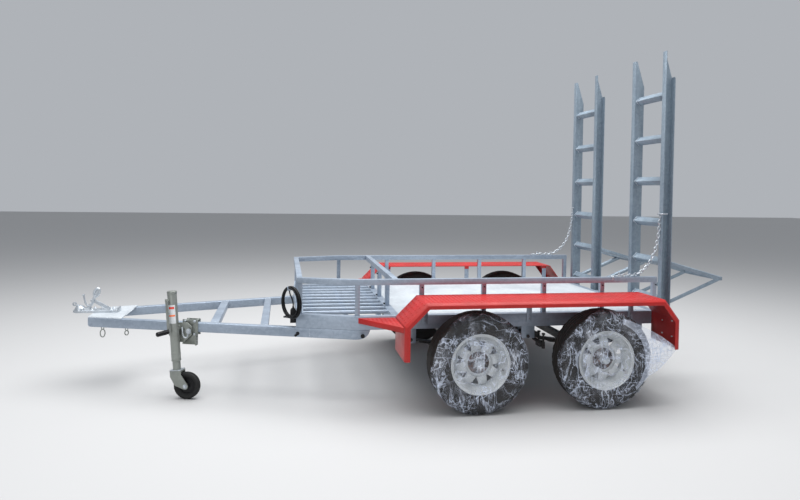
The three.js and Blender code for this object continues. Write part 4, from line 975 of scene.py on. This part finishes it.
small_tyre, small_hub = bmesh.new(), bmesh.new()
half_tyre = [(56, 12), (62, 16), (70, 20.5), (78, 22.6), (83, 21.5), (87.5, 18), (89.3, 13), (89.8, 8),
             (88.2, 7), (88.2, 4.6), (90, 3.6)]
lathe(small_tyre, half_tyre + [(r, -a) for r, a in reversed(half_tyre)], (0, 0, 0), ACROSS, 60)
half_hub = [(8.8, 26), (16, 26), (18, 24.5), (18, 16), (22, 9), (48, 7), (53, 12.5), (57.5, 13.5)]
lathe(small_hub, half_hub + [(r, -a) for r, a in reversed(half_hub)], (0, 0, 0), ACROSS, 48)
settle("jockey_tyre", small_tyre, jockey_rubber, "jockey_road_wheel",
       ["jockey_wheel"], wheel_setting)
settle("jockey_wheel_hub", small_hub, black_plastic, "jockey_road_wheel",
       (), wheel_setting)

# %% [markdown]
# ## Coupling and drawbar fittings
# The ball coupling is a casting: a dome over the ball, a flat tongue bolted to the nose plate and
# an upright release lever with a looped head, a trigger in front of it and a flat stay behind.
# Its body is rounded from the frame, and the lever is bent and forged from rod and bar.

# %% Coupling
rounded("coupling_body", 1.4, bright_zinc, sharp=45)
lever = bmesh.new()
bar(lever, (-1478, 0, 530), (-1447, 0, 576), 36, 20, 5)
bar(lever, (-1452, 0, 566), (-1428, 0, 628), 26, 18, 5)
head = [(-1419 + 31 * math.cos(a) * 0.35 - 17 * math.sin(a) * 0.94, 0,
         648 + 31 * math.cos(a) * 0.94 + 17 * math.sin(a) * 0.35)
        for a in (math.radians(15 * step) for step in range(24))]
bent_rod(lever, head, 8.5, closed=True, roundness=3)
plate(lever, [(x, -2.5, z) for x, _, z in head[::2]], (0, 1, 0), 5, 0.3)
bent_rod(lever, [(-1474, 0, 548), (-1492, 0, 566), (-1502, 0, 598), (-1508, 0, 630)], 6.5, steps=5)
rod(lever, (-1509, -13, 630), (-1509, 13, 630), 7, 14)
bar(lever, (-1452, 0, 597), (-1328, 0, 526), 26, 7, 1.5, (0, 1, 0))
rod(lever, (-1449, -20, 592), (-1449, 20, 592), 8, 12)
settle("coupling_lever_forged", lever, bright_zinc, "chassis", ["coupling_lever"])
bolts = bmesh.new()
for x, y in ((-1440, 36), (-1440, -36), (-1310, 36), (-1310, -36)):
    rod(bolts, (x, y, 522.5), (x, y, 531), 11, 6, chamfer=1.5)
    rod(bolts, (x, y, 522.2), (x, y, 524), 15, 20, chamfer=0.4)
    rod(bolts, (x, y, 530), (x, y, 537), 6, 12, chamfer=0.8)
settle("coupling_bolts", bolts, weld_zinc, "chassis")

# %% [markdown]
# Every joint of the frame is welded before it is dipped, and the beads stay visible as bright
# lumpy lines. A bead is a row of small lumps of wandering size, as a welder lays drop after drop,
# so a short function lays one between any two points.

# %% Weld beads
dice = random.Random(7)
DROP_LENGTH = 7
LUMP_SIZES = (0.9, 1.35)
NOSE_INSET = 6.6
POSTS = (813, 1246, 1679, 2112)
HEADBOARD_FEET = (-388, 0, 388)


def bead(shape, start, end, size=3.0):
    start, end = Vector(start), Vector(end)
    count = max(3, int((end - start).length / DROP_LENGTH))
    for step in range(count):
        lump = Matrix.Translation(start.lerp(end, (step + 0.5) / count) * MM)
        radius = size * MM * dice.uniform(*LUMP_SIZES)
        bmesh.ops.create_icosphere(shape, subdivisions=1, radius=radius, matrix=lump)


beads = bmesh.new()
for sign in (-1, 1):
    bead(beads, *((x, sign * (edge_y(x) - NOSE_INSET), 502) for x in (-1428, -1192)), 3.4)
    for x0, x1 in ((-579, -521), (-237, -185)):
        bead(beads, (x0, sign * (edge_y(x0) - 53), 500), (x1, sign * (edge_y(x1) - 53), 500), 2.6)
    bead(beads, (6, sign * 598, 590), (46, sign * 610, 590), 2.6)
    bead(beads, (-1, sign * 598, 505), (-1, sign * 598, 586), 2.6)
bead(beads, (88, -edge_y(88) - 0.4, 440), (88, -edge_y(88) - 0.4, 498), 1.8)
bead(beads, (-1190, -118, 503), (-1190, 118, 503), 3.0)
for post_x in (CORNER_LONG, *POSTS, 2515):
    for sign in (-1, 1):
        y = sign * min(TRAY_HALF, edge_y(post_x))
        for inset in (10, 40):
            bead(beads, (post_x + 2, y - sign * inset, 591), (post_x + 28, y - sign * inset, 591), 2.2)
for y in HEADBOARD_FEET:
    for x in (637, 667):
        bead(beads, (x, y - 14, 591), (x, y + 14, 591), 2.2)
for y in (-724, 724):
    bead(beads, (640, y, 591), (2480, y, 591), 1.8)
settle("frame_welds", beads, weld_zinc, "chassis", crease=80)

# %% Safety-chain links, cable stub and plugs in the drawbar
links = bmesh.new()
for x, wide, long in ((-1326, 15, 27), (-1155, 11, 16)):
    y = -edge_y(x) + 14
    bent_rod(links, [(x - 7, y, 439), (x - 8, y, 428), (x, y, 420), (x + 8, y, 428), (x + 7, y, 439)], 3, steps=3)
    ring = [(x + wide * math.sin(a), y + 3 * math.sin(a), 421 - long + long * math.cos(a))
            for a in (math.radians(18 * step) for step in range(20))]
    bent_rod(links, ring, 3.6, closed=True)
settle("chain_links", links, jockey_zinc, "chassis")

stub = bmesh.new()
near = -edge_y(10)
rod(stub, (10, near + 2, 461), (10, near - 5, 461), 12, 20, chamfer=1.2)
rod(stub, (10, near - 3, 461), (-6, near - 34, 454), 8.5, 18, chamfer=1.5)
near = -edge_y(455)
rod(stub, (428, near + 2, 466), (428, near - 5, 466), 14, 24, chamfer=1.5)
rod(stub, (428, near - 4, 466), (428, near - 7, 466), 8, 20, chamfer=0.6)
settle("drawbar_grommets", stub, black_plastic, "chassis")

# %% Rope hooks and headboard bolts
hooks = bmesh.new()
for sign in (-1, 1):
    y = sign * 765.5
    for x in (*POSTS, 2520):
        rod(hooks, (x + 15, y - sign * 1, 776), (x + 15, y + sign * 9, 776), 4.5, 10, chamfer=0.6)
for y in HEADBOARD_FEET:
    for z, deep in ((604, 12), (770, 9)):
        rod(hooks, (637.5, y, z), (637 - deep, y, z), 6.5, 6, chamfer=1.0)
settle("rope_buttons", hooks, black_plastic, "chassis")

# %% [markdown]
# ## Ramps, stay chains and welds
# Each rung is a length of angle with its corner forward, welded at both ends, so a bright V shows
# on the stile. A slack chain ties each ramp upright to the side rail. A chain is one link bent
# from rod, copied along its hanging line with every other link turned a quarter. When the ramp is
# lowered the chain is unhooked and lies along the stile, so it rides on the ramp.

# %% Rung welds
RUNGS = (650, 930, 1215, 1520, 1830, 2140)
for side, sign in HANDS:
    welds = bmesh.new()
    for rung in RUNGS:
        for y in (335.5, 698.5):
            corner = (2600.5, sign * y, rung)
            for way in (-1, 1):
                bead(welds, corner, (2634, sign * y, rung + way * 33), 3.0)
    for y in (312, 722):
        for rung in (632, 930):
            bead(welds, (2669, sign * (y - 12), rung + 13), (2669, sign * (y + 12), rung + 13), 2.6)
    settle(f"ramp_welds_{side}", welds, weld_zinc, f"ramp_{side}", crease=80)


# %% Stay chains
def chain(shape, start, low, end, pitch=25.0):
    """Links along a hanging line from start through a curve pulled towards low."""
    start, low, end = Vector(start), Vector(low), Vector(end)
    route = [
        start * (1 - t) ** 2 + low * 2 * t * (1 - t) + end * t * t
        for t in (step / 200 for step in range(201))
    ]
    walked, next_link, count = 0.0, pitch / 2, 0
    for before, after in zip(route, route[1:]):
        walked += (after - before).length
        if walked < next_link:
            continue
        along = (after - before).normalized()
        side = along.cross(Vector((0.3, 1, 0.1))).normalized()
        across = side if count % 2 else along.cross(side)
        link = [after + along * (math.cos(a) * 16 + (5 if math.cos(a) > 0 else -5)) * 0.8
                + across * math.sin(a) * 9.5
                for a in (math.radians(30 * step + 15) for step in range(12))]
        bent_rod(shape, link, 3.0, closed=True, roundness=1)
        next_link += pitch
        count += 1
    return count


for side, sign in HANDS:
    stay = bmesh.new()
    count = chain(stay, (2588, sign * 716, 1262), (2575, sign * 728, 790), (2262, sign * 752, 846))
    bent_rod(stay, [(2586, sign * 700, 1278), (2588, sign * 712, 1284), (2590, sign * 724, 1276),
                    (2590, sign * 728, 1262), (2588, sign * 716, 1252)], 4, steps=4)
    stay_chain = settle(f"stay_chain_{side}", stay, bright_zinc, f"ramp_{side}")
    at(2588, sign * 722, 1000)
    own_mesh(stay_chain)
    eye_bolt = bmesh.new()
    bent_rod(eye_bolt, [(2585, sign * 690, 1278), (2583, sign * 706, 1282), (2584, sign * 746, 1282),
                        (2600, sign * 752, 1282), (2626, sign * 751, 1282)], 4.5, steps=4)
    settle(f"stay_hook_{side}", eye_bolt, bright_zinc, f"ramp_{side}")
    rail_hook = bmesh.new()
    bent_rod(rail_hook, [(2205, sign * 772, 815), (2206, sign * 772, 836), (2214, sign * 752, 842),
                         (2226, sign * 748, 840), (2242, sign * 750, 838), (2252, sign * 752, 843),
                         (2262, sign * 752, 856), (2252, sign * 752, 862)], 4, steps=5)
    bent_rod(rail_hook, [(2190, sign * 730, 838), (2196, sign * 750, 841), (2196, sign * 772, 834),
                         (2196, sign * 773, 812)], 4, steps=5)
    settle(f"rail_hook_{side}", rail_hook, bright_zinc, "chassis")
    print(f"{count} links in the {side} stay chain")

# %% [markdown]
# ## Tread plate, lamps and running gear
# Tread plate has rows of raised lozenges, each turned square to its neighbours. They are small
# lens shapes set on the sheet's flat and sloping faces, so they catch light at any angle.

# %% Tread pattern
def tread(shape, origin, along, across, length, width, pitch=27.0):
    """Lozenges over a rectangle that starts at origin."""
    origin, along, across = Vector(origin), Vector(along).normalized(), Vector(across).normalized()
    face_turn = Matrix((along, across, along.cross(across))).transposed().to_4x4()
    rows, columns = int(width / pitch), int(length / pitch)
    for row in range(rows):
        for column in range(columns):
            where = (origin + along * (column + 0.5) * length / columns
                     + across * (row + 0.5) * width / rows)
            turn = Matrix.Rotation(math.radians(45 if (row + column) % 2 else -45), 4, "Z")
            lens = Matrix.Translation(where * MM) @ face_turn @ turn @ Matrix.Diagonal((12.0, 3.6, 2.2, 1))
            bmesh.ops.create_icosphere(shape, subdivisions=1, radius=MM, matrix=lens)


for side, sign in HANDS:
    lozenges = bmesh.new()
    deep = 318
    tread(lozenges, (800, sign * 780, 727), (1, 0, 0), (0, sign, 0), 1590, deep)
    tread(lozenges, (655, sign * 780, 593), (139, 0, 140), (0, sign, 0), 186, deep)
    tread(lozenges, (2408, sign * 780, 718), (106, 0, -138), (0, sign, 0), 160, deep)
    for strip in range(8):
        x = 432 + strip * 27
        reach = (x - 400) / 245 * 323 - 22
        if reach > 27:
            tread(lozenges, (x - 12, sign * 782, 580), (1, 0, 0), (0, sign, 0), 27, reach)
    settle(f"tread_pattern_{side}", lozenges, red_paint, "chassis", crease=80)

# %% Tail lamps
for side, sign in HANDS:
    low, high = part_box(f"tail_lamp_{side}")
    x0, x1 = (low.x - DATUM_X) / MM, (high.x - DATUM_X) / MM
    y0, y1 = low.y / MM, high.y / MM
    z0, z1 = low.z / MM, high.z / MM
    split = y0 + (y1 - y0) * (0.36 if sign < 0 else 0.64)
    base = bmesh.new()
    block(base, (x0, y0, z0), (x0 + 12, y1, z1), 3)
    settle(f"lamp_base_{side}", base, black_plastic, "chassis", [f"tail_lamp_{side}"])
    for colour, finish, span in (("amber", lamp_amber, (y0, split) if sign < 0 else (split, y1)),
                                 ("red", lamp_red, (split, y1) if sign < 0 else (y0, split))):
        lens = bmesh.new()
        block(lens, (x0 + 11, span[0] + 3, z0 + 3), (x1 - 1.5, span[1] - 2, z1 - 3), 5)
        rib_y = span[0] + 8
        while rib_y < span[1] - 6:
            block(lens, (x1 - 3, rib_y, z0 + 8), (x1, rib_y + 2.4, z1 - 8), 0.8)
            rib_y += 6
        settle(f"lamp_{colour}_{side}", lens, finish, "chassis")
    studs = bmesh.new()
    for y, z in ((y0 + 18, z0 + 16), (y1 - 18, z0 + 16), (y0 + 20, z1 + 40), (y1 - 18, z1 + 24)):
        rod(studs, (x0 - 3, y, z), (x0 - 12, y, z), 5.5, 6, chamfer=0.8)
    settle(f"lamp_studs_{side}", studs, weld_zinc, "chassis")

# %% U-bolts and hanger nuts
U_BOLT = [(692, 288), (692, 392), (700, 399), (750, 399), (758, 392), (758, 288)]
AXLES = (1152, 2012)
ROCKER_X = 1582
for side, sign in HANDS:
    gear = bmesh.new()
    for axle_x in AXLES:
        for x in (axle_x - 36, axle_x + 36):
            bent_rod(gear, [(x, sign * y, z) for y, z in U_BOLT], 5.5, steps=3)
            for y in (692, 758):
                rod(gear, (x, sign * y, 284), (x, sign * y, 293), 9.5, 6, chamfer=1.2)
    hanger_pins = [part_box(f"leaf_spring_front_{side}")[0].x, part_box(f"leaf_spring_rear_{side}")[1].x]
    for pin_x in ((hanger_pins[0] - DATUM_X) / MM + 18, ROCKER_X, (hanger_pins[1] - DATUM_X) / MM - 18):
        pin_z = 428 if pin_x == ROCKER_X else 424
        for y, way in ((689, -1), (761, 1)):
            rod(gear, (pin_x, sign * y, pin_z), (pin_x, sign * (y + way * 11), pin_z), 12, 6, chamfer=1.6)
    for clip_x, way in ((1478, -1), (1688, 1)):
        low_y, high_y = mirrored_span(sign, 688, 762)
        block(gear, (clip_x - 22, low_y, 350), (clip_x + 22, high_y, 384), 4)
        bolt_x = clip_x + way * 6
        for y in (684, 766):
            rod(gear, (bolt_x, sign * y, 352), (bolt_x, sign * y, 436), 7, 12)
            for nut_low, nut_high in ((436, 448), (340, 354)):
                rod(gear, (bolt_x, sign * y, nut_low), (bolt_x, sign * y, nut_high), 12, 6, chamfer=1.6)
        rod(gear, (clip_x - way * 30, sign * 672, 392), (clip_x - way * 30, sign * 778, 392), 12, 14, chamfer=2)
    settle(f"spring_bolts_{side}", gear, black_steel, "chassis")

# %% The corners of a box as plain numbers
def corners(bounds):
    return [list(map(float, corner)) for corner in bounds]
